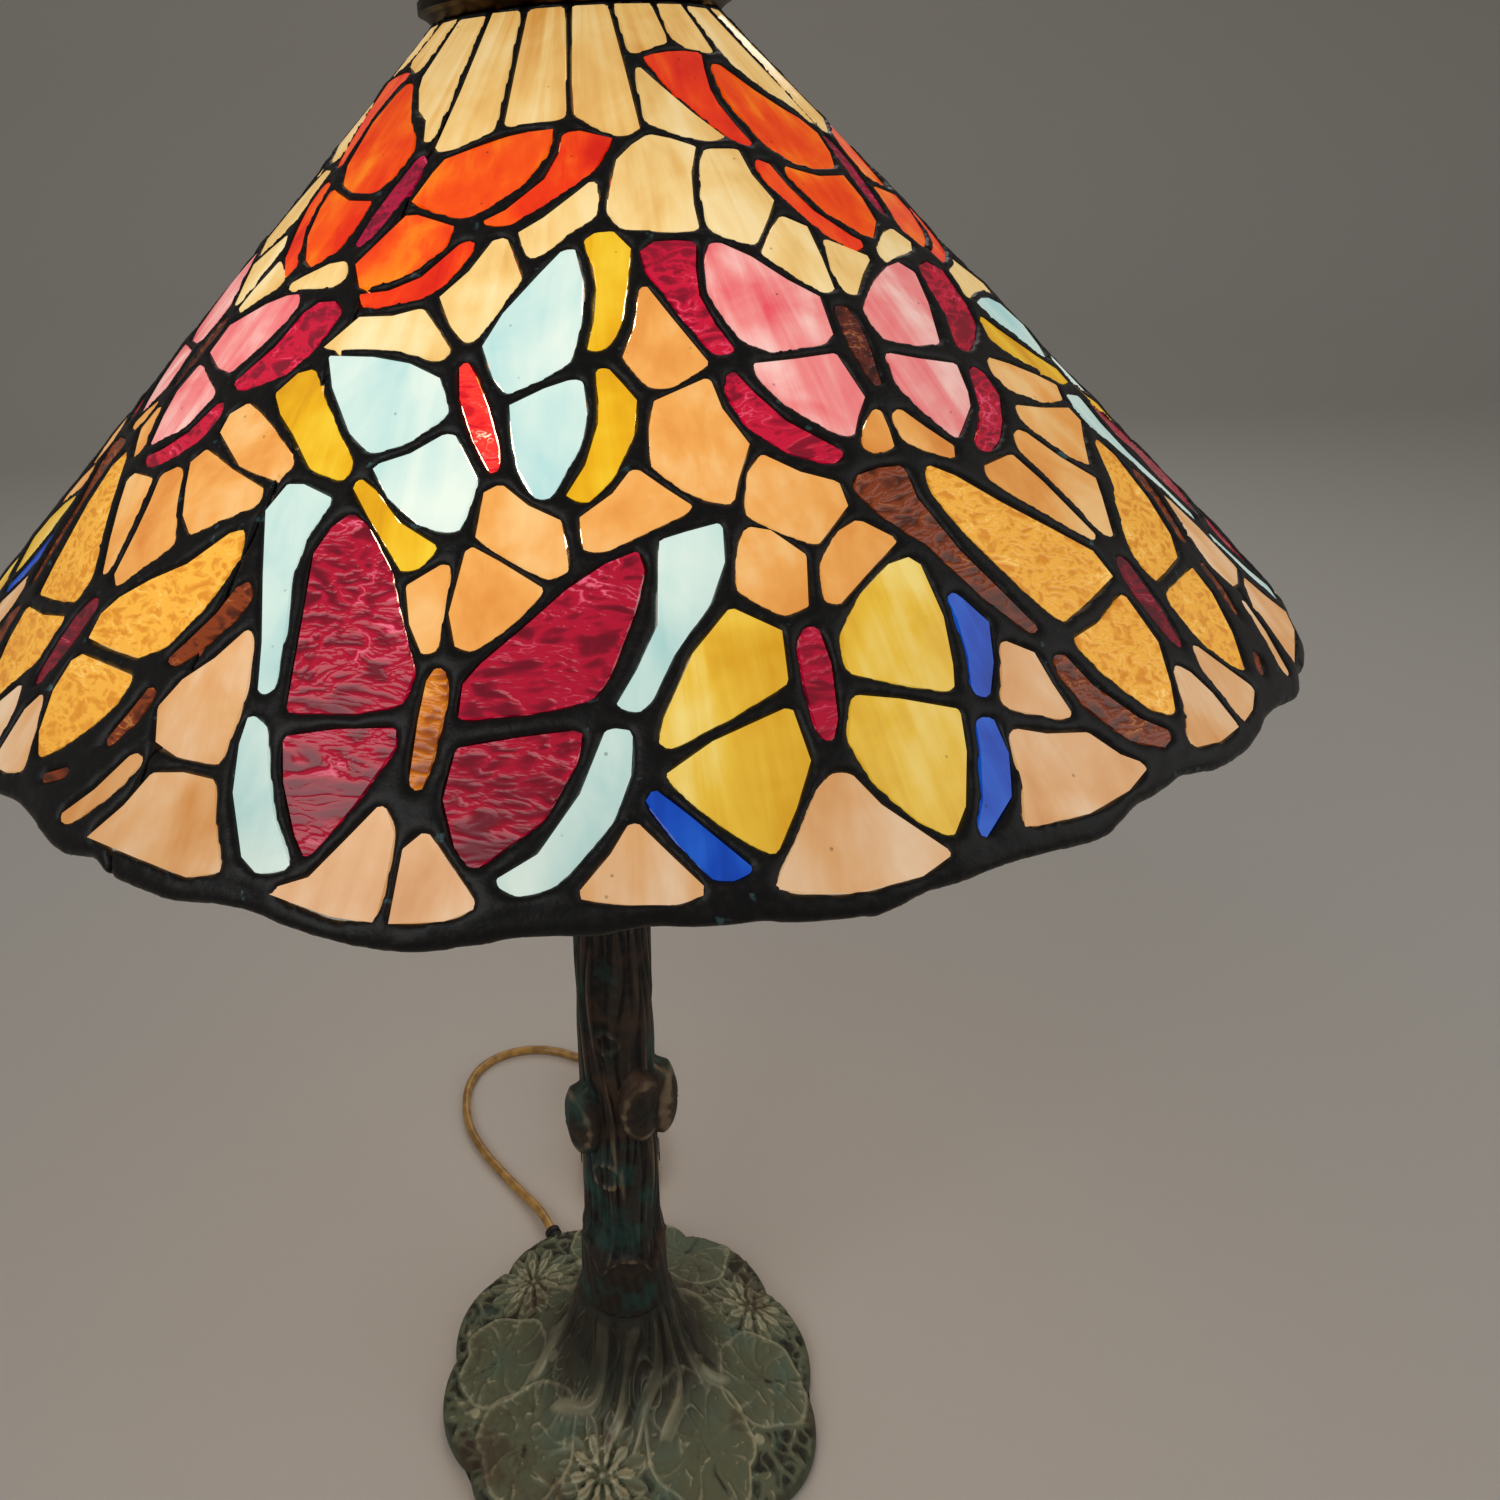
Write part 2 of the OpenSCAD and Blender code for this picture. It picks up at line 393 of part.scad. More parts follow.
module base_casting() color([0.28, 0.36, 0.28])
    difference() {
        union() {
            for (k = [0:9]) rotate([0, 0, 36 * k + 12])
                translate([base_r - 26, 0, felt_t]) cylinder(r = 26, h = base_edge_h);
            rotate_extrude()
                polygon([[0, felt_t], [base_r - 4, felt_t], [base_r - 4, 11], [80, 14.5], [66, 18.5], [54, 23],
                         [44, 29], [35, 38], [28, 50], [23, 62], [neck_r, trunk_z], [0, trunk_z]]);
        }
        rotate_extrude()
            polygon([[0, -1], [base_r - 10, -1], [base_r - 10, 7], [78, 10.5], [64, 14.5], [52, 19],
                     [41, 25], [31.5, 34], [24.5, 46], [19.5, 58], [15, trunk_z - 6], [0, trunk_z - 6]]);
        translate([0, 0, trunk_z - 10]) cylinder(r = pipe_r + fit, h = 20);
        rotate([0, 0, exit_dir]) translate([base_r - 20, 0, 6]) rotate([0, 90, 0]) cylinder(r = 3.8, h = 30);
    }

module felt_pad() color([0.12, 0.16, 0.12])
    cylinder(r = base_r - 4, h = felt_t);

module ballast_ring() color([0.25, 0.25, 0.26])
    difference() {
        translate([0, 0, felt_t]) cylinder(r = 60, h = 9);
        translate([0, 0, -1]) cylinder(r = 24, h = 20);
    }

module trunk_casting() color([0.17, 0.14, 0.11])
    difference() {
        union() {
            rotate_extrude()
                polygon([[0, trunk_z], [neck_r, trunk_z], [20.5, trunk_z + 6], [20, 110], [18, 116],
                         [17.5, 145], [17.5, 215], [16.8, 250], [trunk_d / 2, 300],
                         [trunk_d / 2, trunk_top_z], [0, trunk_top_z]]);
            for (pad = [[-62, 190, 11], [-18, 188, 10], [-140, 180, 9]]) rotate([0, 0, pad[0]])
                translate([15, 0, pad[1]]) sphere(r = pad[2]);
        }
        translate([0, 0, trunk_z + 8]) cylinder(r = trunk_d / 2 - casting_t, h = trunk_top_z - trunk_z - 16);
        translate([0, 0, trunk_z - 1]) cylinder(r = pipe_r + fit, h = trunk_top_z);
    }

module trunk_collar() color("darkgoldenrod")
    translate([0, 0, trunk_top_z])
        rotate_extrude()
            polygon([[pipe_r + fit, 0], [14, 0], [15.5, 1.5], [15.5, 3.5], [12, 5.5], [9, 9], [8, 12],
                     [pipe_r + fit, 12]]);

module centre_pipe() color("silver")
    difference() {
        translate([0, 0, 12]) cylinder(r = pipe_r, h = cluster_z + 8 - 12);
        cylinder(r = pipe_hole, h = crown_z);
    }

module lock_washer() color("gray")
    translate([0, 0, trunk_z - 8.2]) difference() {
        cylinder(r = 13.5, h = 2.2);
        translate([0, 0, -1]) cylinder(r = pipe_r + gap, h = 5);
    }

module lock_nut() color("silver")
    translate([0, 0, trunk_z - 14.2]) difference() {
        cylinder(r = 9.2, h = 6, $fn = 6);
        translate([0, 0, -1]) cylinder(r = pipe_r + fit, h = 9);
    }

module cord_bushing() color([0.08, 0.07, 0.06])
    rotate([0, 0, exit_dir]) translate([base_r - 11, 0, 6]) rotate([0, 90, 0])
        difference() {
            union() {
                cylinder(r = 3.8, h = 12);
                translate([0, 0, 11]) cylinder(r = 4.4, h = 3);
            }
            translate([0, 0, -1]) cylinder(r = cord_d / 2, h = 20);
        }

// ---- Lights ----

module cluster_body() color("darkgoldenrod")
    difference() {
        translate([0, 0, cluster_z]) rotate_extrude()
            polygon([[pipe_r + fit, 0], [10, 0], [20, 3], [cluster_r, 8], [cluster_r, cluster_h],
                     [cluster_r - 2, cluster_h], [cluster_r - 2, 9], [18.5, 5], [10, 3], [pipe_r + fit, 3]]);
        for (turn = [0, 180]) socket_place(turn) cylinder(r = pipe_r + fit, h = socket_start);
    }

module cluster_cap() color("darkgoldenrod")
    translate([0, 0, cluster_z + cluster_h]) rotate_extrude()
        polygon([[pipe_r + fit, 0], [cluster_r + 0.8, 0], [cluster_r, 2.5], [15, 6], [8, 8],
                 [pipe_r + fit, 8]]);

// Along a socket: origin on the lamp's axis, +Z outwards through the bulb
module socket_place(turn)
    translate([0, 0, socket_z]) rotate([0, 0, -90 + socket_angle + turn]) rotate([0, 90, 0]) children();

module socket_nipples() color("silver")
    for (turn = [0, 180]) socket_place(turn)
        translate([0, 0, cluster_r - 7]) difference() {
            cylinder(r = pipe_r, h = socket_start - cluster_r + 10);
            translate([0, 0, -1]) cylinder(r = pipe_hole, h = 20);
        }

module socket_shell(turn) color("goldenrod")
    socket_place(turn)
        difference() {
            rotate_extrude()
                polygon([[pipe_r + fit, socket_start], [9, socket_start], [16.5, socket_start + 5],
                         [17.2, socket_start + 8], [17.2, socket_start + 15], [16.6, socket_start + 16],
                         [16.8, socket_start + 45], [16, socket_start + 45], [15.8, socket_start + 16],
                         [16.2, socket_start + 14], [16.2, socket_start + 8.4], [15.8, socket_start + 6],
                         [9, socket_start + 1.4], [pipe_r + fit, socket_start + 1.4]]);
            translate([0, 0, socket_start + 10.5]) rotate([0, 90, 0]) cylinder(r = 2.2, h = 40);
        }

module socket_blocks() color([0.12, 0.1, 0.09])
    for (turn = [0, 180]) socket_place(turn)
        translate([0, 0, socket_start + 13]) cylinder(r = 15.7, h = 3.4);

module socket_liners() color([0.3, 0.22, 0.16])
    for (turn = [0, 180]) socket_place(turn) translate([0, 0, socket_start + 17])
        difference() {
            cylinder(r = 15.5, h = 29);
            translate([0, 0, -1]) cylinder(r = 14.8, h = 40);
        }

module screw_shell(turn) color("gold")
    socket_place(turn) translate([0, 0, socket_start + 16.4])
        difference() {
            cylinder(r = 14.4, h = 27);
            translate([0, 0, 1.2]) cylinder(r = 13.5, h = 40);
        }

module bulb_base(turn) color("silver")
    socket_place(turn)
        rotate_extrude()
            polygon([[0, socket_start + 18.2], [4, socket_start + 18.2], [5, socket_start + 20],
                     [12.8, socket_start + 22], [12.8, socket_start + 44], [0, socket_start + 44]]);

module bulb_glass(turn) color([1, 0.95, 0.8])
    socket_place(turn)
        rotate_extrude()
            polygon(concat([[0, socket_start + 44], [12.4, socket_start + 44], [13.6, socket_start + 50],
                            [18, socket_start + 60]],
                           [for (a = [-42:6:90]) [bulb_r * cos(a), socket_start + 92 + bulb_r * sin(a)]]));

module pull_chain(turn) color("goldenrod")
    socket_place(turn) translate([0, 0, socket_start + 10.5]) rotate([0, 90, 0]) {
        translate([0, 0, 3]) cylinder(r = 1.2, h = chain_len + 10);
        translate([0, 0, chain_len + 9]) cylinder(r1 = 2.4, r2 = 4.2, h = 10);
    }

module riser_rod() color("silver")
    translate([0, 0, cluster_z + cluster_h - 6])
        cylinder(r = pipe_r, h = rod_top_z - cluster_z - cluster_h + 6);

module check_ring() color("darkgoldenrod")
    translate([0, 0, seat_z - 6]) difference() {
        cylinder(r = 8.5, h = 6, $fn = 6);
        translate([0, 0, -1]) cylinder(r = pipe_r + fit, h = 9);
    }

module seat_washer() color("goldenrod")
    translate([0, 0, seat_z]) difference() {
        cylinder(r = 11.5, h = 1.6);
        translate([0, 0, -1]) cylinder(r = pipe_r + fit, h = 9);
    }

// Running clearance that lets the finial turn over the cap
finial_gap = 0.2;

module finial() color([0.3, 0.22, 0.12])
    difference() {
        translate([0, 0, crown_z + 17.8 + finial_gap]) rotate_extrude()
            polygon([[0, 0], [9, 0], [10, 2], [8.6, 5], [6.8, 7], [6.8, 9], [9.6, 13], [10.6, 18],
                     [9.4, 23], [6, 27.5], [3.2, 30], [2.2, 33], [0, 34]]);
        cylinder(r = pipe_r + fit, h = rod_top_z + 1);
    }

// ---- Cord ----

function unit(v) = v / norm(v);
function cord_heading(i) = unit(CORD[min(i + 1, len(CORD) - 1)] - CORD[max(i - 1, 0)]);

module cord() color([0.62, 0.47, 0.2]) {
    sides = 8;
    points = [for (i = [0:len(CORD) - 1])
        let (along = cord_heading(i), side = unit(cross(along, [0, 0, 1])), up = cross(side, along))
        for (j = [0:sides - 1])
            CORD[i] + cord_d / 2 * (cos(360 * j / sides) * side + sin(360 * j / sides) * up)];
    last = (len(CORD) - 1) * sides;
    polyhedron(points, concat(
        [[for (j = [0:sides - 1]) j]],
        [for (i = [0:len(CORD) - 2]) for (j = [0:sides - 1])
            let (a = i * sides + j, b = i * sides + (j + 1) % sides)
            [a, a + sides, b + sides, b]],
        [[for (j = [sides - 1:-1:0]) last + j]]));
}

module cord_hank() color([0.62, 0.47, 0.2])
    translate([hank_at.x, hank_at.y, 0]) linear_extrude(hank_h) {
        translate([-hank_r, -hank_half]) square([2 * hank_r, 2 * hank_half]);
        for (end = [-hank_half, hank_half]) translate([0, end]) circle(r = hank_r);
    }

module plug_body() color([0.55, 0.42, 0.18])
    translate(plug_at) union() {
        translate([-plug_w / 2, 0, -7.5]) cube([plug_w, 26, 15]);
        translate([0, 1, 0]) rotate([90, 0, 0]) cylinder(r = 5.4, h = 19);
    }

module plug_blades() color("gold")
    translate(plug_at + [0, 26, 0])
        for (side = [-1, 1]) translate([side * 6.35 - 0.75, 0, -3.2]) cube([1.5, blade_len, 6.4]);

// ---- Nodes ----

base_casting();
felt_pad();
ballast_ring();
trunk_casting();
trunk_collar();
centre_pipe();
lock_washer();
lock_nut();
cord_bushing();
cord();
cord_hank();
plug_body();
plug_blades();
cluster_body();
cluster_cap();
socket_nipples();
riser_rod();
check_ring();
seat_washer();
finial();
socket_shell(0);  // socket_shell_front
socket_shell(180);  // socket_shell_back
socket_blocks();
socket_liners();
screw_shell(0);  // screw_shell_front
screw_shell(180);  // screw_shell_back
bulb_base(0);  // bulb_base_front
bulb_base(180);  // bulb_base_back
bulb_glass(0);  // bulb_glass_front
bulb_glass(180);  // bulb_glass_back
pull_chain(0);  // pull_chain_front
pull_chain(180);  // pull_chain_back
shade_cap();
crown_ring();
leading(0);  // leading_front
leading(1);  // leading_right
leading(2);  // leading_back
leading(3);  // leading_left
glass_crown_strips();
glass_upper_field();
glass_middle_field();
glass_rim_field();
glass_orange_wings();
glass_orange_edges();
glass_orange_bodies();
glass_blue_wings();
glass_blue_edges();
glass_blue_bodies();
glass_pink_wings();
glass_pink_edges();
glass_pink_bodies();
glass_red_wings();
glass_red_edges();
glass_red_bodies();
glass_yellow_wings();
glass_yellow_edges();
glass_yellow_bodies();
glass_gold_wings();
glass_gold_edges();
glass_gold_bodies();
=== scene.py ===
"""Leaded glass butterfly lamp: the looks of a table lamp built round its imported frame."""

import math

import bmesh
import bpy
from mathutils import Matrix, Vector, noise


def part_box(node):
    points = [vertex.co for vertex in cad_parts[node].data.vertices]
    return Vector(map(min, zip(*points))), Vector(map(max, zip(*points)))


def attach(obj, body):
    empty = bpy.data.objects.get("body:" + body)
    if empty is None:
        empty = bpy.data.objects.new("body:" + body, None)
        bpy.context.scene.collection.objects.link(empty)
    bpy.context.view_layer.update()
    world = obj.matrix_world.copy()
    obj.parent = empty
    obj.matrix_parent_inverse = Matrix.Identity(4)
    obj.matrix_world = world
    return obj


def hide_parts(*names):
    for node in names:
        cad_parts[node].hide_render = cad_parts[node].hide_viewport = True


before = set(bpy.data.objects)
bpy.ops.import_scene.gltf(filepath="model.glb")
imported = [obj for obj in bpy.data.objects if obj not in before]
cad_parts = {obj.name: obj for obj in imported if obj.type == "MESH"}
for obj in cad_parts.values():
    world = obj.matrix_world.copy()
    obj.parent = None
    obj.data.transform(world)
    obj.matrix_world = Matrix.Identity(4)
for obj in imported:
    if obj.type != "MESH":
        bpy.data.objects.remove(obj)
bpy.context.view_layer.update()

bl_info = {
    "name": "Butterfly Lamp",
    "version": (1, 0, 0),
    "blender": (4, 5, 0),
    "location": "View3D > Sidebar > Lamp",
    "description": "Builds a lit leaded glass table lamp on a cast lily-pad stand",
    "category": "Object",
}

MM = 0.001
TAU = 2 * math.pi


# ---- Places taken from the frame ----

def low(node):
    return Vector(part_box(node)[0])


def high(node):
    return Vector(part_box(node)[1])


def centre(node):
    return (low(node) + high(node)) / 2


FELT_TOP = high("felt_pad").z
NECK_Z = low("trunk_casting").z
TRUNK_TOP = high("trunk_casting").z
BULBS = [centre("bulb_glass_front"), centre("bulb_glass_back")]

# Route of the cord from the bushing, over the table, to the hank behind the trunk, in metres
CORD_ROUTE = [
    (-0.0408, 0.0875, 0.006), (-0.045, 0.0965, 0.0057), (-0.050, 0.105, 0.0048), (-0.057, 0.114, 0.0035),
    (-0.065, 0.124, 0.0028), (-0.074, 0.135, 0.0028), (-0.083, 0.147, 0.0028), (-0.091, 0.160, 0.0028),
    (-0.097, 0.174, 0.0028), (-0.100, 0.189, 0.0028), (-0.100, 0.205, 0.0028), (-0.095, 0.220, 0.0028),
    (-0.085, 0.231, 0.0028), (-0.071, 0.238, 0.0028), (-0.055, 0.240, 0.0028), (-0.039, 0.237, 0.0028),
    (-0.025, 0.231, 0.0028),
]


# Solder: the grid it is melted on, how often it is smoothed, and the wire along the rim
MELT_GRID = 1.25 * MM
MELT_PASSES = 9
RIM_WIRE = 2.2 * MM
RIM_RISE = 1.3 * MM
RIM_OVERLAP = 2 * MM
# How finely the base is turned: points down its profile and steps round it
BASE_POINTS, BASE_STEPS = 118, 560
TRUNK_ROWS, TRUNK_STEPS = 300, 264
TRUNK_BORE = 6 * MM


# ---- Settings ----

class LampGlass(bpy.types.PropertyGroup):
    """Sheet glass and the solder round it"""
    glow: bpy.props.FloatProperty(
        name="Glow", description="Brightness of the glass with the bulbs lit", default=1.0, min=0.0)
    # The glass's glow and its hot spot beside each bulb are painted light: the glass emits its own colour in
    # place of the bulbs' light shining through it.
    painted_hot_spot: bpy.props.FloatProperty(
        name="Hot spot", description="How much brighter the glass is beside a bulb", default=0.34, min=0.0)
    bead: bpy.props.FloatProperty(
        name="Bead", description="How far the solder stands over the edge of the glass",
        default=0.15 * MM, unit="LENGTH")
    lump: bpy.props.FloatProperty(
        name="Lumps", description="Unevenness of the solder line", default=0.2 * MM, unit="LENGTH")
    patina_hex: bpy.props.StringProperty(
        name="Patina", description="Colour of the blackened solder in sRGB hex", default="131110")


class LampMetal(bpy.types.PropertyGroup):
    """Castings and brass parts"""
    relief: bpy.props.FloatProperty(
        name="Relief", description="Height of the lily pads on the base", default=2.6 * MM, unit="LENGTH")
    bark: bpy.props.FloatProperty(
        name="Bark", description="Depth of the grooves on the trunk", default=1.5 * MM, unit="LENGTH")


class LampCord(bpy.types.PropertyGroup):
    """Supply cord"""
    diameter: bpy.props.FloatProperty(
        name="Diameter", description="Diameter of the cord", default=5.5 * MM, unit="LENGTH")
    length: bpy.props.FloatProperty(
        name="Length", description="Whole length of the cord", default=1.8, unit="LENGTH")


class LampStage(bpy.types.PropertyGroup):
    """Floor, lights and camera"""
    floor_hex: bpy.props.StringProperty(
        name="Floor", description="Colour of the floor in sRGB hex", default="C9C4BC")
    room: bpy.props.FloatProperty(
        name="Room light", description="Strength of the soft light all round", default=0.3, min=0.0)
    key: bpy.props.FloatProperty(
        name="Key light", description="Power of the large soft light", default=9.0, min=0.0, unit="POWER")


# ---- Making materials ----

def linear(hex_colour):
    """A colour for a shader from six sRGB hex digits."""
    parts = [int(hex_colour[i:i + 2], 16) / 255 for i in (0, 2, 4)]
    return tuple(c / 12.92 if c <= 0.04045 else ((c + 0.055) / 1.055) ** 2.4 for c in parts) + (1.0,)


def add(tree, kind, inputs=None, stops=None, **settings):
    """Adds one node, with its settings, its ramp stops, and a value or a link for each input named."""
    node = tree.nodes.new("ShaderNode" + kind)
    for name, value in settings.items():
        setattr(node, name, value)
    if stops:
        ramp = node.color_ramp
        while len(ramp.elements) < len(stops):
            ramp.elements.new(1.0)
        for element, (place, hex_colour) in zip(ramp.elements, stops):
            element.position = place
            element.color = linear(hex_colour)
    for name, value in (inputs or {}).items():
        if isinstance(value, bpy.types.NodeSocket):
            tree.links.new(value, node.inputs[name])
        else:
            node.inputs[name].default_value = value
    return node


def new_material(name):
    material = bpy.data.materials.new(name)
    material.use_nodes = True
    material.node_tree.nodes.clear()
    return material, material.node_tree


def surface(tree, inputs):
    """The closing shader and output of a material."""
    shader = add(tree, "BsdfPrincipled", inputs)
    add(tree, "OutputMaterial", {"Surface": shader.outputs["BSDF"]})
    return shader


def paint(obj, material):
    obj.data.materials.clear()
    obj.data.materials.append(material)


def round_the_lamp(tree, across, along):
    """Coordinates that follow the shade: across it in turns round the axis, and along its height."""
    place = add(tree, "TexCoord").outputs["Object"]
    split = add(tree, "SeparateXYZ", {"Vector": place})
    flat = add(tree, "CombineXYZ", {"X": split.outputs["X"], "Y": split.outputs["Y"]})
    turned = add(tree, "VectorMath", {0: flat.outputs[0]}, operation="NORMALIZE")
    scaled = add(tree, "VectorMath", {0: turned.outputs[0], "Scale": across}, operation="SCALE")
    height = add(tree, "Math", {0: split.outputs["Z"], 1: along}, operation="MULTIPLY")
    rise = add(tree, "CombineXYZ", {"Z": height.outputs[0]})
    both = add(tree, "VectorMath", {0: scaled.outputs[0], 1: rise.outputs[0]}, operation="ADD")
    return both.outputs[0]


def bulb_glow(tree, weak, strong):
    """Brightness of the shade where it stands from the two bulbs, from weak far off to strong beside one."""
    place = add(tree, "TexCoord").outputs["Object"]
    nearest = None
    for bulb in BULBS:
        gap = add(tree, "VectorMath", {0: place, 1: bulb}, operation="DISTANCE").outputs["Value"]
        nearest = gap if nearest is None else add(
            tree, "Math", {0: nearest, 1: gap}, operation="MINIMUM").outputs[0]
    return add(tree, "MapRange", {"Value": nearest, "From Min": 45 * MM, "From Max": 165 * MM,
                                  "To Min": strong, "To Max": weak},
               interpolation_type="SMOOTHERSTEP").outputs["Result"]


def opalescent_glass(name, deep, middle, pale, across, along, cloud=26, weak=0.78, seed=0.0):
    """Rolled opalescent sheet: colours stirred together while hot, so it is cloudy, streaked and never clear.
    Painted light: the sheet emits its own colour in place of the bulbs' light from behind, brighter beside a
    bulb."""
    glass = bpy.context.scene.lamp_glass
    material, tree = new_material(name)
    streak_at = round_the_lamp(tree, across, along)
    streak = add(tree, "TexNoise", {"Vector": streak_at, "W": seed, "Scale": 1.0, "Detail": 4.0,
                                    "Roughness": 0.6, "Distortion": 0.9}, noise_dimensions="4D")
    place = add(tree, "TexCoord").outputs["Object"]
    clouds = add(tree, "TexNoise", {"Vector": place, "W": seed + 3.1, "Scale": 1 / (cloud * MM),
                                    "Detail": 3.0, "Distortion": 0.6}, noise_dimensions="4D")
    mixed = add(tree, "Math", {0: streak.outputs["Fac"], 1: clouds.outputs["Fac"]}, operation="ADD")
    halved = add(tree, "Math", {0: mixed.outputs[0], 1: 0.5}, operation="MULTIPLY")
    colour = add(tree, "ValToRGB", {"Fac": halved.outputs[0]},
                 stops=[(0.36, deep), (0.5, middle), (0.64, pale)])
    # Trapped bubbles and grit, drawn 0.6 mm across, one in about 9 mm
    grit = add(tree, "TexVoronoi", {"Vector": place, "Scale": 1 / (9 * MM)})
    speck = add(tree, "MapRange", {"Value": grit.outputs["Distance"], "From Min": 0.03, "From Max": 0.06,
                                   "To Min": 0.45, "To Max": 1.0})
    # Painted light: the glass glows brighter beside a bulb, a painted hot spot in place of the bulbs' light
    # passing through.
    glow = bulb_glow(tree, weak, weak + glass.painted_hot_spot)
    light = add(tree, "Math", {0: glow, 1: speck.outputs["Result"]}, operation="MULTIPLY")
    lit = add(tree, "VectorMath", {0: colour.outputs["Color"], "Scale": light.outputs[0]}, operation="SCALE")
    wave = add(tree, "TexNoise", {"Vector": place, "Scale": 1 / (11 * MM), "Detail": 2.0})
    bump = add(tree, "Bump", {"Height": wave.outputs["Fac"], "Strength": 0.25, "Distance": 1.2 * MM})
    body = add(tree, "VectorMath", {0: colour.outputs["Color"], "Scale": 0.3}, operation="SCALE")
    surface(tree, {"Base Color": body.outputs[0], "Roughness": 0.16, "IOR": 1.52,
                   "Emission Color": lit.outputs[0], "Emission Strength": glass.glow * 0.92,
                   "Normal": bump.outputs["Normal"]})
    return material


def ripple_glass(name, dark, body, painted_glint_hex, size=5.6, flatness=2.3, weak=0.74, strong=1.25, seed=0.0):
    """Ripple cathedral sheet: clear coloured glass rolled with wavy ridges, painted dark in the hollows and
    with a painted glint on the ridges, where the light behind is bent towards the eye."""
    glass = bpy.context.scene.lamp_glass
    material, tree = new_material(name)
    # The ridges lie across the slope, so height is packed tighter than the way round
    radius = 130 * MM
    wavy = round_the_lamp(tree, radius / (size * MM), flatness / (size * MM))
    warp = add(tree, "TexNoise", {"Vector": wavy, "W": seed, "Scale": 0.45, "Detail": 1.0},
               noise_dimensions="4D")
    bent = add(tree, "VectorMath", {0: warp.outputs["Color"], 1: (2.2, 2.2, 2.2), 2: wavy},
               operation="MULTIPLY_ADD")
    ridge = add(tree, "TexNoise", {"Vector": bent.outputs[0], "W": seed, "Scale": 0.9, "Detail": 2.5,
                                   "Roughness": 0.55}, noise_dimensions="4D")
    folded = add(tree, "Math", {0: ridge.outputs["Fac"], 1: 0.5}, operation="SUBTRACT")
    height = add(tree, "Math", {0: folded.outputs[0]}, operation="ABSOLUTE")
    crest = add(tree, "MapRange", {"Value": height.outputs[0], "From Min": 0.0, "From Max": 0.2,
                                   "To Min": 1.0, "To Max": 0.0})
    sharp = add(tree, "Math", {0: crest.outputs["Result"], 1: 2.6}, operation="POWER")
    shade = add(tree, "TexNoise", {"Vector": bent.outputs[0], "W": seed + 5, "Scale": 0.4},
                noise_dimensions="4D")
    uneven = add(tree, "MapRange", {"Value": shade.outputs["Fac"], "From Min": 0.35, "From Max": 0.65,
                                    "To Min": 0.25, "To Max": 1.0})
    ridge_and_painted_glint = add(tree, "Math", {0: sharp.outputs[0], 1: uneven.outputs["Result"]}, operation="MULTIPLY")
    # Painted light: the ramp runs from the dark glass to a painted glint on the ridge crests, in place of the
    # light that the ridges bend towards the eye.
    colour = add(tree, "ValToRGB", {"Fac": ridge_and_painted_glint.outputs[0]},
                 stops=[(0.0, dark), (0.3, body), (0.62, body), (1.0, painted_glint_hex)])
    # Painted light: the glass glows as if lit from behind, with a painted hot spot beside each bulb.
    glow = bulb_glow(tree, weak, strong)
    lit = add(tree, "VectorMath", {0: colour.outputs["Color"], "Scale": glow}, operation="SCALE")
    bump = add(tree, "Bump", {"Height": ridge_and_painted_glint.outputs[0], "Strength": 0.4, "Distance": 0.7 * MM})
    surface(tree, {"Base Color": linear(dark), "Roughness": 0.14, "IOR": 1.52,
                   "Emission Color": lit.outputs[0], "Emission Strength": glass.glow * 0.9,
                   "Normal": bump.outputs["Normal"]})
    return material


def cast_bronze(name, recess, body, crest, bloom, attribute, bloom_at=0.56, dark_from=0.0):
    """Cast bronze with a chemical patina: brown in the hollows, green-grey on the flats, rubbed pale on the
    ridges. The attribute on the mesh says how high each point stands in the relief. Inside dark_from
    millimetres of the axis the patina fades to dark brown."""
    material, tree = new_material(name)
    place = add(tree, "TexCoord").outputs["Object"]
    relief = add(tree, "Attribute", attribute_name=attribute).outputs["Fac"]
    grain = add(tree, "TexNoise", {"Vector": place, "Scale": 1 / (3 * MM), "Detail": 5.0, "Roughness": 0.65})
    patch = add(tree, "TexNoise", {"Vector": place, "Scale": 1 / (24 * MM), "Detail": 4.0, "Roughness": 0.6})
    worn = add(tree, "Math", {0: grain.outputs["Fac"], 1: 0.24, 2: relief}, operation="MULTIPLY_ADD")
    level = add(tree, "Math", {0: worn.outputs[0], 1: 0.12}, operation="SUBTRACT")
    colour = add(tree, "ValToRGB", {"Fac": level.outputs[0]},
                 stops=[(0.12, recess), (0.42, body), (0.68, body), (0.95, crest)])
    green = add(tree, "MapRange", {"Value": patch.outputs["Fac"], "From Min": bloom_at,
                                   "From Max": bloom_at + 0.16, "To Min": 0.0, "To Max": 0.7})
    blend = add(tree, "Mix", {0: green.outputs["Result"], 6: colour.outputs["Color"], 7: linear(bloom)},
                data_type="RGBA")
    brown = add(tree, "MapRange", {"Value": patch.outputs["Fac"], "From Min": 0.47, "From Max": 0.36,
                                   "To Min": 0.0, "To Max": 0.6})
    warm = add(tree, "Mix", {0: brown.outputs["Result"], 6: blend.outputs[2], 7: linear("4A3626")},
               data_type="RGBA")
    flat = add(tree, "VectorMath", {0: place, 1: (1, 1, 0)}, operation="MULTIPLY")
    reach = add(tree, "VectorMath", {0: flat.outputs[0]}, operation="LENGTH")
    near = add(tree, "MapRange", {"Value": reach.outputs["Value"], "From Min": 0.55 * dark_from * MM,
                                  "From Max": (dark_from + 0.1) * MM, "To Min": 0.86, "To Max": 0.0})
    blend = add(tree, "Mix", {0: near.outputs["Result"], 6: warm.outputs[2], 7: linear("1A1410")},
                data_type="RGBA")
    rough = add(tree, "MapRange", {"Value": relief, "To Min": 0.72, "To Max": 0.42})
    bump = add(tree, "Bump", {"Height": grain.outputs["Fac"], "Strength": 0.35, "Distance": 0.4 * MM})
    surface(tree, {"Base Color": blend.outputs[2], "Metallic": 0.35, "Roughness": rough.outputs["Result"],
                   "Normal": bump.outputs["Normal"]})
    return material


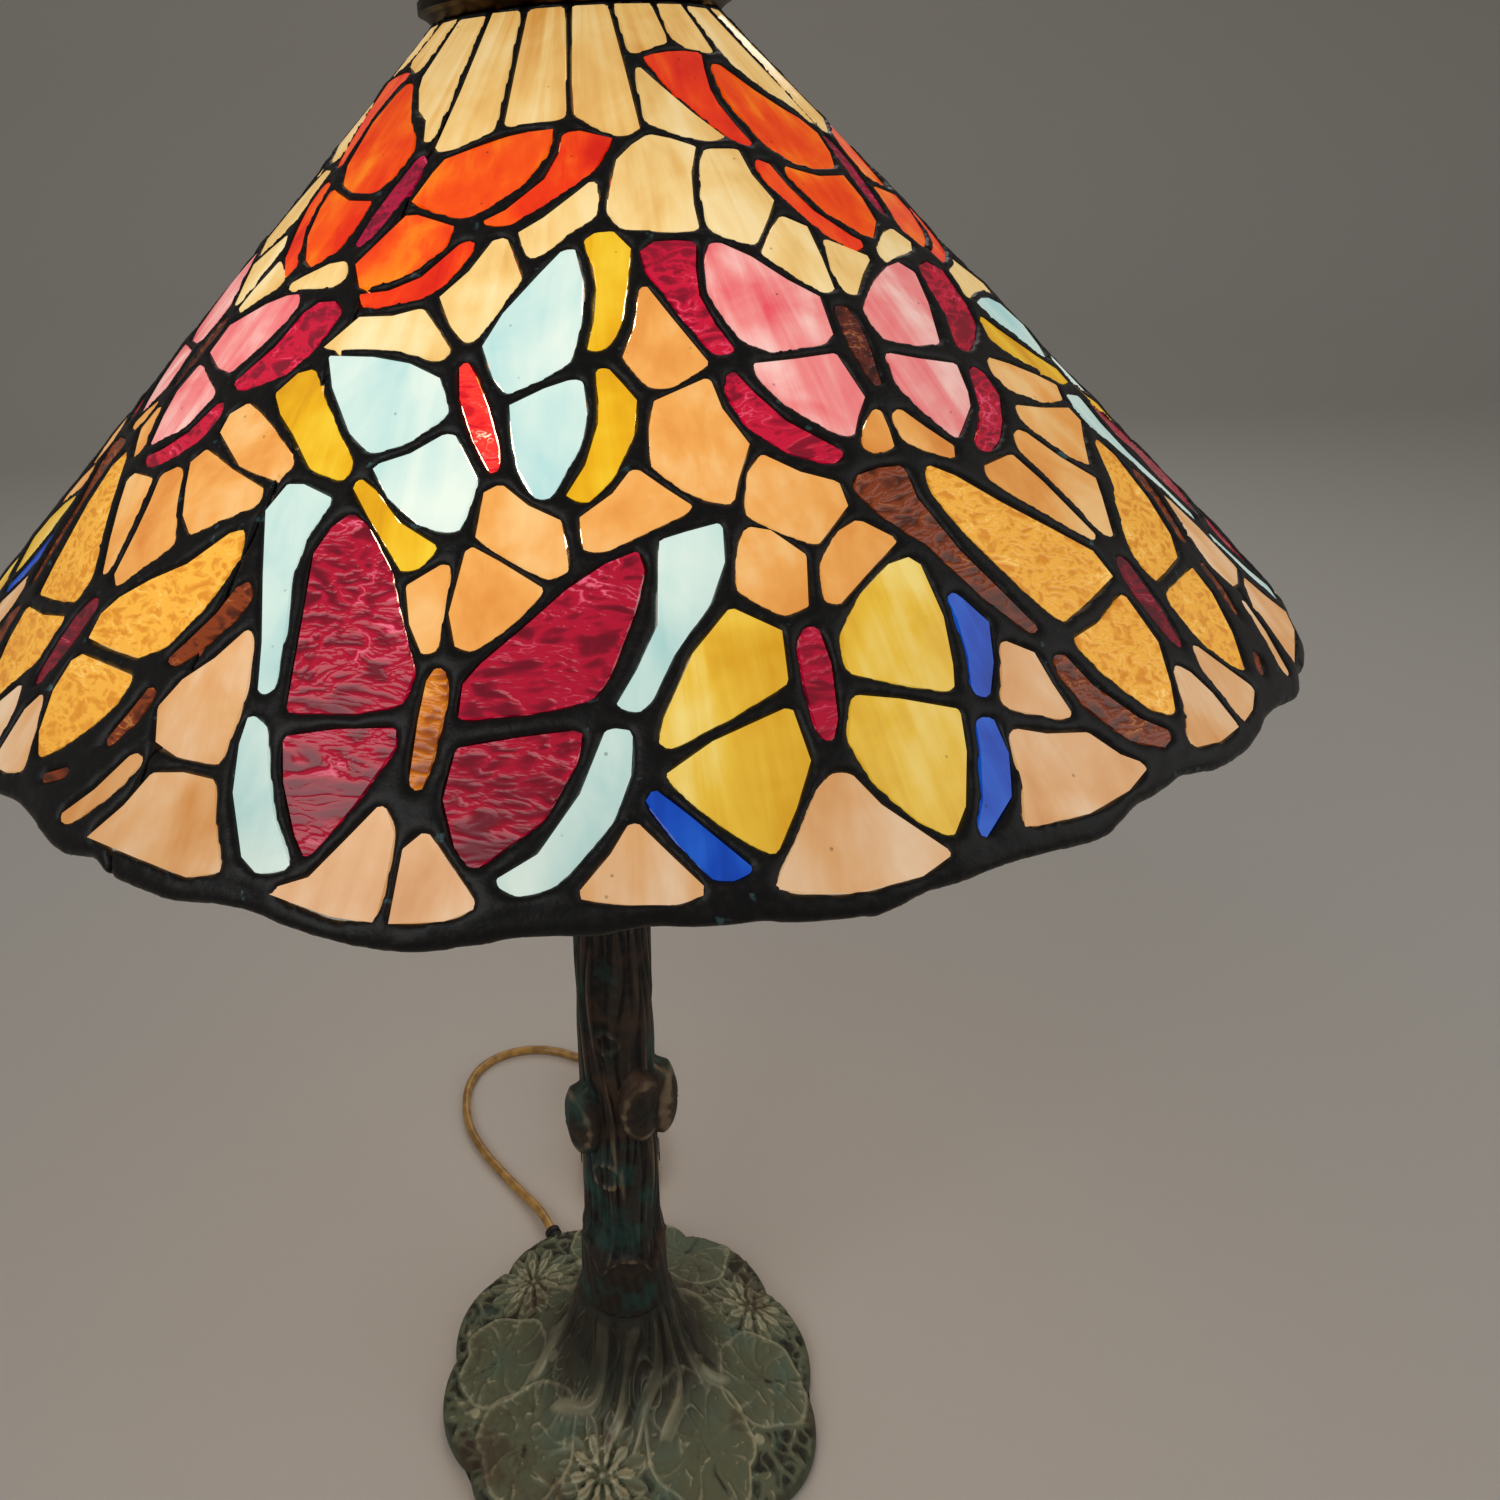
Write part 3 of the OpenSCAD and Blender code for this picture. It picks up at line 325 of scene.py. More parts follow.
def worked_metal(name, clean, tarnish, metallic=1.0, roughness=0.3, patch=14, brushed=0.0):
    """Turned, spun or drawn metal, with tarnish in soft patches and fine tool lines round the axis."""
    material, tree = new_material(name)
    place = add(tree, "TexCoord").outputs["Object"]
    spots = add(tree, "TexNoise", {"Vector": place, "Scale": 1 / (patch * MM), "Detail": 4.0})
    colour = add(tree, "ValToRGB", {"Fac": spots.outputs["Fac"]}, stops=[(0.38, tarnish), (0.62, clean)])
    rough = add(tree, "MapRange", {"Value": spots.outputs["Fac"], "From Min": 0.35, "From Max": 0.65,
                                   "To Min": roughness + 0.14, "To Max": roughness})
    line_at = add(tree, "Mapping", {"Vector": place, "Scale": (1.0, 1.0, 9.0)})
    lines = add(tree, "TexNoise", {"Vector": line_at.outputs[0], "Scale": 1 / (6 * MM), "Detail": 3.0})
    bump = add(tree, "Bump", {"Height": lines.outputs["Fac"], "Strength": 0.15 + brushed,
                              "Distance": 0.15 * MM})
    surface(tree, {"Base Color": colour.outputs["Color"], "Metallic": metallic,
                   "Roughness": rough.outputs["Result"], "Normal": bump.outputs["Normal"]})
    return material


def moulded(name, colour, shade, roughness=0.45, grain=1.2, depth=0.12, sheen=0.0):
    """Moulded rubber, vinyl, phenolic, fibre or felt: an even colour with a fine surface grain."""
    material, tree = new_material(name)
    place = add(tree, "TexCoord").outputs["Object"]
    mottle = add(tree, "TexNoise", {"Vector": place, "Scale": 1 / (12 * MM), "Detail": 3.0})
    mix = add(tree, "ValToRGB", {"Fac": mottle.outputs["Fac"]}, stops=[(0.35, shade), (0.65, colour)])
    fine = add(tree, "TexNoise", {"Vector": place, "Scale": 1 / (grain * MM), "Detail": 2.0})
    bump = add(tree, "Bump", {"Height": fine.outputs["Fac"], "Strength": 0.3, "Distance": depth * MM})
    surface(tree, {"Base Color": mix.outputs["Color"], "Roughness": roughness, "Sheen Weight": sheen,
                   "Normal": bump.outputs["Normal"]})
    return material


def black_solder():
    """Tin and lead solder blackened with patina: soft shine on rounded beads, with faint blue-green salts
    in the low spots and a dusty grey on the crests."""
    material, tree = new_material("black patina solder")
    place = add(tree, "TexCoord").outputs["Object"]
    fine = add(tree, "TexNoise", {"Vector": place, "Scale": 1 / (2.4 * MM), "Detail": 5.0, "Roughness": 0.6})
    spots = add(tree, "TexNoise", {"Vector": place, "Scale": 1 / (5 * MM), "Detail": 3.0})
    black = linear(bpy.context.scene.lamp_glass.patina_hex)
    dust = add(tree, "MapRange", {"Value": fine.outputs["Fac"], "From Min": 0.5, "From Max": 0.8,
                                  "To Min": 0.0, "To Max": 0.35})
    dusty = add(tree, "Mix", {0: dust.outputs["Result"], 6: black, 7: linear("3A3430")}, data_type="RGBA")
    salts = add(tree, "MapRange", {"Value": spots.outputs["Fac"], "From Min": 0.69, "From Max": 0.74,
                                   "To Min": 0.0, "To Max": 0.6})
    colour = add(tree, "Mix", {0: salts.outputs["Result"], 6: dusty.outputs[2], 7: linear("4E7378")},
                 data_type="RGBA")
    rough = add(tree, "MapRange", {"Value": fine.outputs["Fac"], "To Min": 0.28, "To Max": 0.55})
    bump = add(tree, "Bump", {"Height": fine.outputs["Fac"], "Strength": 0.5, "Distance": 0.4 * MM})
    surface(tree, {"Base Color": colour.outputs[2], "Metallic": 0.5, "Roughness": rough.outputs["Result"],
                   "Normal": bump.outputs["Normal"]})
    return material


def frosted_bulb():
    """Soft white bulb: acid-etched glass, lit evenly from inside."""
    material, tree = new_material("frosted bulb glass")
    place = add(tree, "TexCoord").outputs["Object"]
    etch = add(tree, "TexNoise", {"Vector": place, "Scale": 1 / (1.5 * MM), "Detail": 2.0})
    tone = add(tree, "ValToRGB", {"Fac": etch.outputs["Fac"]}, stops=[(0.3, "FFE2B0"), (0.7, "FFEFD0")])
    surface(tree, {"Base Color": tone.outputs["Color"], "Roughness": 0.35,
                   "Emission Color": tone.outputs["Color"], "Emission Strength": 6.0})
    return material


# ---- Making meshes ----

def mesh_object(name, bm, body, smooth=True):
    """Turns a bmesh into a piece that rides on a body of the frame."""
    mesh = bpy.data.meshes.new(name)
    bm.to_mesh(mesh)
    bm.free()
    piece = bpy.data.objects.new(name, mesh)
    bpy.context.scene.collection.objects.link(piece)
    if smooth:
        mesh.polygons.foreach_set("use_smooth", [True] * len(mesh.polygons))
    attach(piece, body)
    return piece


def spun(profile, steps):
    """A bmesh turned round the lamp's axis from (radius, height) pairs, as one closed skin."""
    bm = bmesh.new()
    verts = [bm.verts.new((r, 0, z)) for r, z in profile]
    edges = [bm.edges.new(pair) for pair in zip(verts, verts[1:])]
    bmesh.ops.spin(bm, geom=verts + edges, cent=(0, 0, 0), axis=(0, 0, 1), angle=TAU, steps=steps,
                   use_merge=True)
    bmesh.ops.remove_doubles(bm, verts=bm.verts, dist=1e-6)
    bmesh.ops.recalc_face_normals(bm, faces=bm.faces)
    return bm


def ease(value):
    value = min(1.0, max(0.0, value))
    return value * value * (3 - 2 * value)


def hump(distance, width):
    """A rounded ridge, 1 on its crest and falling to nothing at about twice its width."""
    return math.exp(-(distance / width) ** 2)


def round_wire(line, radius, roundness):
    """Mesh of a round wire that follows a line; roundness is the curve's own bevel resolution."""
    data = bpy.data.curves.new("wire", "CURVE")
    data.dimensions = "3D"
    data.bevel_depth = radius
    data.bevel_resolution = roundness
    data.use_fill_caps = True
    spline = data.splines.new("POLY")
    spline.points.add(len(line) - 1)
    for point, place in zip(spline.points, line):
        point.co = (*place, 1.0)
    wire = bpy.data.objects.new("wire", data)
    bpy.context.scene.collection.objects.link(wire)
    mesh = bpy.data.meshes.new_from_object(wire.evaluated_get(bpy.context.evaluated_depsgraph_get()))
    bpy.data.objects.remove(wire)
    bpy.data.curves.remove(data)
    return mesh


def join_rows(bm, rows, ring=False):
    """Faces between each row of corners and the next, right round when the rows are rings."""
    for one, two in zip(rows, rows[1:]):
        count = len(one)
        for i in range(count if ring else count - 1):
            j = (i + 1) % count
            bm.faces.new((one[i], one[j], two[j], two[i]))


# ---- Glass ----

def glass_finishes():
    """A material for each glass node, named for its sheet."""
    opal = opalescent_glass
    ripple = ripple_glass
    return {
        "glass_crown_strips": opal("honey cream opal", "DB9B48", "EDBF70", "F8DA9C", 9, 9, seed=1),
        "glass_upper_field": opal("butter opal", "DFAA58", "EFC981", "F8DFA8", 10, 22, seed=2),
        "glass_middle_field": opal("peach opal", "D88534", "E9A352", "F2C17E", 8, 40, seed=3),
        "glass_rim_field": opal("blush opal", "D6924F", "E5AE76", "EFCBA4", 12, 20, weak=0.74, seed=4),
        "glass_orange_wings": opal("flame orange opal", "E02A03", "F25206", "FA8C14", 7, 30, cloud=20,
                                   seed=5),
        "glass_orange_edges": opal("red orange opal", "D21C05", "EA3605", "F4600C", 7, 30, cloud=18, seed=6),
        "glass_orange_bodies": ripple("magenta ripple", "5A031C", "A20B36", "E8527A", seed=7),
        "glass_blue_wings": opal("ice blue opal", "A2CFCE", "C4DDD4", "E0EADC", 6, 16, cloud=30, weak=0.8,
                                 seed=8),
        "glass_blue_edges": opal("daffodil opal", "C98408", "E4AC12", "F0CC36", 11, 14, seed=9),
        # A bulb sits right behind these bodies: painted hot spot, with a stronger glow and a near-white
        # painted glint.
        "glass_blue_bodies": ripple("scarlet ripple", "9A0A14", "E02C22", "FFE6C0", strong=1.9, seed=10),
        "glass_pink_wings": opal("rose streak opal", "E4505C", "EE8E8A", "F7CBC0", 12, 12, cloud=22, seed=11),
        "glass_pink_edges": ripple("ruby ripple", "6E031C", "BC0A30", "EC5C7C", seed=12),
        "glass_pink_bodies": ripple("umber ripple", "240C07", "571E0E", "A8602F", seed=13),
        "glass_red_wings": ripple("deep ruby ripple", "5A0216", "A40829", "E8647F", size=6.4, seed=14),
        "glass_red_edges": opal("sea mist opal", "A2CBC6", "C4DCD3", "DEEADC", 8, 14, weak=0.78, seed=15),
        "glass_red_bodies": ripple("amber ripple", "7A3606", "C06E10", "F2B452", seed=16),
        "glass_yellow_wings": opal("sunflower streak opal", "D99E1C", "EABD3C", "F5D87A", 22, 12, seed=17),
        "glass_yellow_edges": opal("cobalt streak glass", "04287E", "0B46B4", "2468D2", 20, 16, seed=18),
        "glass_yellow_bodies": ripple("crimson ripple", "66041A", "AE0A2E", "E8587A", seed=19),
        "glass_gold_wings": ripple("gold ripple", "C07A20", "E0A63C", "F5D07A", size=3.4, flatness=1.6,
                                   weak=0.86, seed=20),
        "glass_gold_edges": ripple("bark brown ripple", "3E1604", "7E3410", "C07A38", seed=21),
        "glass_gold_bodies": ripple("maroon ripple", "44060F", "7C0C22", "B8485E", seed=22),
    }


class LAMP_OT_glass(bpy.types.Operator):
    """Give each sheet of glass its own colour, streaks and ripples"""
    bl_idname = "lamp.glass"
    bl_label = "Glass"

    def execute(self, context):
        for node, material in glass_finishes().items():
            paint(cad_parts[node], material)
        return {"FINISHED"}


def rim_line(verts):
    """Even line along the lower edge of one quarter, through the lowest corner in every degree and a half."""
    slot_degrees = 1.5
    middle = sum((vert.co for vert in verts), Vector())
    lowest = {}
    for vert in verts:
        off = (math.atan2(vert.co.y, vert.co.x) - math.atan2(middle.y, middle.x) + math.pi) % TAU - math.pi
        step = round(math.degrees(off) / slot_degrees)
        if step not in lowest or vert.co.z < lowest[step].z:
            lowest[step] = vert.co.copy()
    line = [lowest[step] for step in sorted(lowest)]
    line = [line[0]] + [(a + 2 * b + c) / 4 for a, b, c in zip(line, line[1:], line[2:])] + [line[-1]]
    # Both ends run on a little, so that the quarters meet without a gap
    first = line[0] + RIM_OVERLAP * (line[0] - line[3]).normalized()
    last = line[-1] + RIM_OVERLAP * (line[-1] - line[-4]).normalized()
    line = [first] + line + [last]
    return [point + Vector((0, 0, RIM_RISE)) for point in line]


def solder_quarter(node):
    """The square-edged lattice of one quarter, melted into rounded, slightly lumpy beads."""
    glass = bpy.context.scene.lamp_glass
    bm = bmesh.new()
    bm.from_mesh(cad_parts[node].data)
    bmesh.ops.remove_doubles(bm, verts=bm.verts, dist=1e-6)
    wire = round_wire(rim_line(bm.verts), RIM_WIRE, 4)
    bm.from_mesh(wire)
    bpy.data.meshes.remove(wire)
    piece = mesh_object(node.replace("leading", "solder"), bm, "shade")
    remesh = piece.modifiers.new("voxels", "REMESH")
    remesh.mode = "VOXEL"
    remesh.voxel_size = MELT_GRID
    graph = bpy.context.evaluated_depsgraph_get()
    melted = bpy.data.meshes.new_from_object(piece.evaluated_get(graph))
    piece.modifiers.clear()
    bm = bmesh.new()
    bm.from_mesh(melted)
    for _ in range(MELT_PASSES):
        bmesh.ops.smooth_vert(bm, verts=bm.verts, factor=0.5,
                              use_axis_x=True, use_axis_y=True, use_axis_z=True)
    bm.normal_update()
    for vert in bm.verts:
        lumps = noise.noise(vert.co / (9 * MM)) + 0.5 * noise.noise(vert.co / (3.5 * MM))
        vert.co += vert.normal * (glass.bead + glass.lump * lumps)
    old = piece.data
    bm.to_mesh(melted)
    bm.free()
    piece.data = melted
    bpy.data.meshes.remove(old)
    melted.polygons.foreach_set("use_smooth", [True] * len(melted.polygons))
    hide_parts(node)
    return piece


class LAMP_OT_solder(bpy.types.Operator):
    """Lay the rounded solder lines over the glass"""
    bl_idname = "lamp.solder"
    bl_label = "Solder"

    def execute(self, context):
        material = black_solder()
        for node in ("leading_front", "leading_right", "leading_back", "leading_left"):
            paint(solder_quarter(node), material)
        return {"FINISHED"}


# ---- Castings ----

# Lily pads on the base: middle, radius and the way their notch points, in millimetres and degrees
LILY_PADS = [(-64, 2, 24, 200), (-50, -40, 26, 250), (33, -44, 27, 300), (66, -10, 24, 10), (34, 64, 25, 60),
             (-12, 72, 19, 100), (4, -77, 13, 270), (-31, 31, 12, 120), (-26, -18, 11, 320), (43, 10, 10, 30)]
# Open flowers on the base: middle, radius and number of petals
FLOWERS = [(-14, -56, 21, 12), (66, 31, 22, 12), (-50, 47, 24, 13), (10, 81, 12, 9)]
BUDS = [(-18, -33, 6), (21, -70, 5), (-36, -9, 5), (-75, -23, 5), (60, -38, 5), (-24, 55, 5)]


def lily_pad(x, y, pad):
    """Height of one pad: a shallow dish with a rolled, wavy rim and forked veins round its notch."""
    cx, cy, radius, notch = pad
    turn = math.atan2(y - cy, x - cx) - math.radians(notch)
    wave = 1 + 0.05 * math.sin(3 * turn + cx) + 0.03 * math.sin(7 * turn + cy)
    out = math.hypot(x - cx, y - cy) / radius / wave
    if out > 1.12:
        return 0.0
    bent = turn + 0.12 * math.sin(out * 5 + cx)
    vein = abs(math.cos(4 * bent)) ** 26 * ease(out * 4) * ease((0.98 - out) * 5)
    fork = max(hump(math.cos(4 * bent) - 0.86 + 0.5 * (out - 0.55), 0.07) * ease((out - 0.5) * 4), 0) * 0.6
    slit = hump(math.sin(turn) * out * radius, 0.9) if math.cos(turn) > 0 else 0.0
    edge = ease((1.06 - out) / 0.12)
    crinkle = 0.08 * noise.noise(Vector((x / 3, y / 3, 2.0)))
    dish = 0.42 + 0.16 * out * out + crinkle + 0.3 * max(vein, fork) + 0.34 * hump(out - 0.95, 0.055)
    return edge * (dish - 0.4 * slit)


def flower(x, y, bloom):
    """Height of one open flower: three rings of pointed petals round a button."""
    cx, cy, radius, petals = bloom
    out = math.hypot(x - cx, y - cy) / radius
    if out > 1.05:
        return 0.0
    turn = math.atan2(y - cy, x - cx)
    best = 1.05 * hump(out, 0.12)
    for ring, (start, reach, lift) in enumerate([(0.5, 1.03, 0.66), (0.25, 0.74, 0.86), (0.08, 0.42, 1.0)]):
        if not start < out < reach:
            continue
        count = petals - 2 * ring
        slice_width = TAU / count
        off = (turn + ring * slice_width / 2) % slice_width - slice_width / 2
        part = (out - start) / (reach - start)
        half = 0.46 * slice_width * math.sin(math.pi * min(1.0, 0.18 + 0.82 * part)) ** 0.7
        inside = ease((half - abs(off)) * out * radius / 1.1)
        crease = 0.16 * hump(off * out * radius, 0.5)
        lip = 0.12 * hump(half - abs(off) - 0.05, 0.05)
        best = max(best, inside * (lift + 0.1 * part + lip - crease))
    return best


def roots(x, y):
    """Height of the root-like stems that run down the flare and out between the pads."""
    r = math.hypot(x, y)
    turn = math.atan2(y, x)
    swirl = turn + 0.012 * (r - 22) + 0.3 * math.sin(2 * turn + r / 14) + 0.12 * math.sin(5 * turn - r / 9)
    strands = abs(math.cos(5.5 * swirl)) ** 3
    fine = abs(math.cos(13 * swirl + r / 8)) ** 3
    near = ease((64 - r) / 24)
    return near * (0.2 + 0.72 * strands + 0.34 * fine)


def curling_stems(x, y):
    """Low winding stems that fill the ground between pads and flowers."""
    wander = noise.noise(Vector((x / 11, y / 11, 4.0)))
    twine = noise.noise(Vector((x / 7, y / 7, 9.0)))
    return 0.16 + 0.48 * hump(wander, 0.1) + 0.3 * hump(twine, 0.09)


def spiral(x, y, cx, cy, radius):
    """Height of a stem curled up like a fern."""
    out = math.hypot(x - cx, y - cy)
    if out > radius * 1.15:
        return 0.0
    turn = math.atan2(y - cy, x - cx)
    lane = (out / radius * 2.2 - turn / TAU) % 1.0
    return ease((1.1 - out / radius) * 5) * (0.35 + 0.6 * hump(lane - 0.5, 0.2))


def base_relief(x, y):
    """Height of the base's ornament at a point, from 0 in the ground to about 1."""
    best = max(roots(x, y), curling_stems(x, y))
    for pad in LILY_PADS:
        best = max(best, lily_pad(x, y, pad))
    for bloom in FLOWERS:
        best = max(best, flower(x, y, bloom))
    best = max(best, spiral(x, y, 9, -31, 8), spiral(x, y, 38, 34, 7))
    for bx, by, radius in BUDS:
        out = math.hypot(x - bx, y - by) / radius
        best = max(best, 0.95 * ease((1.15 - out) / 0.5) - 0.35 * hump(out - 0.62, 0.14))
    return best


def scallop(turn):
    """Outer radius of the base in its own scale: ten uneven lobes with sharp notches."""
    lobe = abs(math.cos(5 * (turn - math.radians(12))))
    return 1 - 0.062 * (1 - lobe ** 0.7) - 0.006 * math.sin(3 * turn + 1)


BASE_PROFILE = [(93.5, 2.2), (93.5, 6.0), (92.6, 8.6), (90.0, 10.2), (80.0, 12.6), (66.0, 16.0), (54.0, 20.5),
                (44.0, 26.5), (35.0, 35.0), (28.0, 46.0), (23.5, 59.0), (20.4, 71.9)]


def along(profile, steps):
    """Even points along a smooth line through the profile's own points."""
    lengths = [math.dist(a, b) for a, b in zip(profile, profile[1:])]
    total = sum(lengths)
    points = []
    for i in range(steps + 1):
        rest = total * i / steps
        k = 0
        while k < len(lengths) - 1 and rest > lengths[k]:
            rest -= lengths[k]
            k += 1
        part = min(1.0, rest / lengths[k])
        a, b = profile[k], profile[k + 1]
        points.append((a[0] + (b[0] - a[0]) * part, a[1] + (b[1] - a[1]) * part))
    for _ in range(3):
        middle = [((a[0] + b[0] + c[0]) / 3, (a[1] + b[1] + c[1]) / 3)
                  for a, b, c in zip(points, points[1:], points[2:])]
        points = [points[0]] + middle + [points[-1]]
    return points


def set_relief(piece, name, values):
    attribute = piece.data.attributes.new(name, "FLOAT", "POINT")
    attribute.data.foreach_set("value", values)


class LAMP_OT_base(bpy.types.Operator):
    """Sculpt the lily pads, flowers and roots of the base casting"""
    bl_idname = "lamp.base"
    bl_label = "Base casting"

    def execute(self, context):
        depth = context.scene.lamp_metal.relief
        skin = [(r * MM, z * MM) for r, z in along(BASE_PROFILE, BASE_POINTS)]
        under = [(5 * MM, NECK_Z - 0.1 * MM), (5 * MM, NECK_Z - 6 * MM), (15 * MM, NECK_Z - 6 * MM),
                 (24.5 * MM, 46 * MM), (41 * MM, 25 * MM), (64 * MM, 14.5 * MM), (83.5 * MM, 7 * MM),
                 (83.5 * MM, FELT_TOP), (91 * MM, FELT_TOP), (93.5 * MM, 2.2 * MM)]
        bm = spun(skin + under, BASE_STEPS)
        bm.normal_update()
        levels = []
        moves = []
        for vert in bm.verts:
            x, y, z = vert.co
            r = math.hypot(x, y)
            turn = math.atan2(y, x)
            on_skin = vert.normal.z > 0.02 and r > 20.35 * MM
            level = 0.3
            move = Vector((0, 0, 0))
            if on_skin and r < 92.4 * MM:
                level = base_relief(x / MM, y / MM)
                fade = ease((NECK_Z - z) / (8 * MM)) * ease((93.5 * MM - r) / (3 * MM))
                move = vert.normal * (depth * (level - 0.35) * fade)
                level = level * fade + 0.3 * (1 - fade)
            levels.append(level)
            widen = 1 + (scallop(turn) - 1) * ease((r - 60 * MM) / (25 * MM))
            moves.append(Vector((x * (widen - 1), y * (widen - 1), 0)) + move)
        for vert, move in zip(bm.verts, moves):
            vert.co += move
        bmesh.ops.recalc_face_normals(bm, faces=bm.faces)
        piece = mesh_object("lily_pad_base", bm, "stand")
        set_relief(piece, "relief", levels)
        paint(piece, cast_bronze("verdigris bronze", "1B1812", "646A52", "A8A688", "5A7462", "relief",
                                 dark_from=52))
        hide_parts("base_casting")
        return {"FINISHED"}


# Lily pads that grow on the trunk: turn from +X in degrees, height, reach from the axis, and the two half
# sizes, in millimetres
TRUNK_PADS = [(-58, 192, 24.5, 11, 17), (-14, 188, 27, 11, 18), (-150, 180, 25.5, 11, 17),
              (70, 200, 24, 10, 14)]
# Radius of the trunk at heights up from the flare, in millimetres
TRUNK_RADII = [(72, 20.4), (79, 20.2), (108, 19.4), (116, 17.9), (145, 17.4), (215, 17.2), (250, 16.8),
               (300, 16.5), (398, 16.3)]


def trunk_radius(z):
    for (z0, r0), (z1, r1) in zip(TRUNK_RADII, TRUNK_RADII[1:]):
        if z <= z1:
            return r0 + (r1 - r0) * (z - z0) / (z1 - z0)
    return TRUNK_RADII[-1][1]


def trunk_surface(turn, z):
    """Radius of the trunk at a turn and height in millimetres, and how high that stands in its relief."""
    wide = trunk_radius(z)
    sway = turn + 0.16 * math.sin(z / 34) + 0.08 * math.sin(z / 13 + 2 * turn)
    fibre = noise.noise(Vector((4.2 * math.cos(sway), 4.2 * math.sin(sway), z / 60)))
    fine = noise.noise(Vector((11 * math.cos(sway), 11 * math.sin(sway), z / 26)))
    bark = 1 - min(1.0, abs(fibre) * 3.2)
    level = 0.62 - 0.75 * bark + 0.35 * fine
    radius = wide + bpy.context.scene.lamp_metal.bark / MM * (level - 0.62)
    # Broad overlapping leaves clasp the foot of the trunk
    leaf_top = 96 + 13 * abs(math.cos(2.5 * turn + 0.6)) ** 0.8
    if z < leaf_top + 2:
        inside = ease((leaf_top + 1 - z) / 2.5)
        vein = 0.5 * abs(math.cos(12.5 * turn + 0.12 * (z - 72))) ** 4
        lip = 0.8 * hump(z - leaf_top + 2.2, 1.8)
        leaf = wide + 0.25 + 0.7 * vein + lip
        radius += (leaf - radius) * inside
        level += (0.3 + 0.3 * vein + 0.5 * lip - level) * inside
    # Domed round pads with a pale rim and faint spokes
    for degrees, height, reach, half_w, half_h in TRUNK_PADS:
        off = (turn - math.radians(degrees) + math.pi) % TAU - math.pi
        out = math.hypot(off * wide / half_w * 1.15, (z - height) / half_h)
        if out < 1.12 and abs(off) < 1.2:
            rise = ease((1.12 - out) / 0.16)
            dish = (1 - (out / 1.12) ** 2) ** 0.4
            spokes = 0.05 * abs(math.cos(4 * math.atan2(z - height, off * wide))) ** 4
            target = wide + (reach - wide) * (dish + spokes)
            radius += (target - radius) * rise
            level += (0.25 + 0.55 * hump(out - 0.82, 0.15) + 4 * spokes - level) * rise
    # Three small open loops of stem
    for degrees, height, size in [(-112, 153, 6.5), (-104, 226, 5), (30, 150, 6)]:
        off = ((turn - math.radians(degrees) + math.pi) % TAU - math.pi) * wide
        ring = hump(math.hypot(off, z - height) - size, 1.3)
        radius += 1.6 * ring
        level += 0.5 * ring
    # Twisting stems that join the pads to the roots
    for phase, lean in [(-0.7, 0.006), (-1.6, -0.004), (2.4, 0.005), (1.0, -0.006)]:
        if 100 < z < 215:
            twist = turn - phase - lean * (z - 150) - 0.12 * math.sin(z / 17)
            off = ((twist + math.pi) % TAU - math.pi) * wide
            strand = hump(off, 1.7) * ease((215 - z) / 12) * ease((z - 100) / 10)
            radius += 1.5 * strand
            level += 0.35 * strand
    return radius, level


class LAMP_OT_trunk(bpy.types.Operator):
    """Sculpt the bark, clasping leaves and pads of the trunk casting"""
    bl_idname = "lamp.trunk"
    bl_label = "Trunk casting"

    def execute(self, context):
        mean_radius = 17 * MM
        rise = (TRUNK_TOP - NECK_Z) / TRUNK_ROWS
        skin = [(mean_radius, NECK_Z + rise * i) for i in range(TRUNK_ROWS + 1)]
        bm = spun([(TRUNK_BORE, NECK_Z)] + skin + [(TRUNK_BORE, TRUNK_TOP), (TRUNK_BORE, NECK_Z)],
                  TRUNK_STEPS)
        levels = []
        for vert in bm.verts:
            x, y, z = vert.co
            level = 0.4
            if math.hypot(x, y) > 10 * MM:
                turn = math.atan2(y, x)
                radius, level = trunk_surface(turn, z / MM)
                vert.co = (radius * MM * math.cos(turn), radius * MM * math.sin(turn), z)
            levels.append(level)
        bmesh.ops.recalc_face_normals(bm, faces=bm.faces)
        piece = mesh_object("trunk", bm, "stand")
        set_relief(piece, "relief", levels)
        paint(piece, cast_bronze("brown bark bronze", "0C0907", "2B231C", "7A6A52", "24504A", "relief",
                                 bloom_at=0.5))
        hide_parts("trunk_casting")
        return {"FINISHED"}


# ---- Turned and stamped metal ----

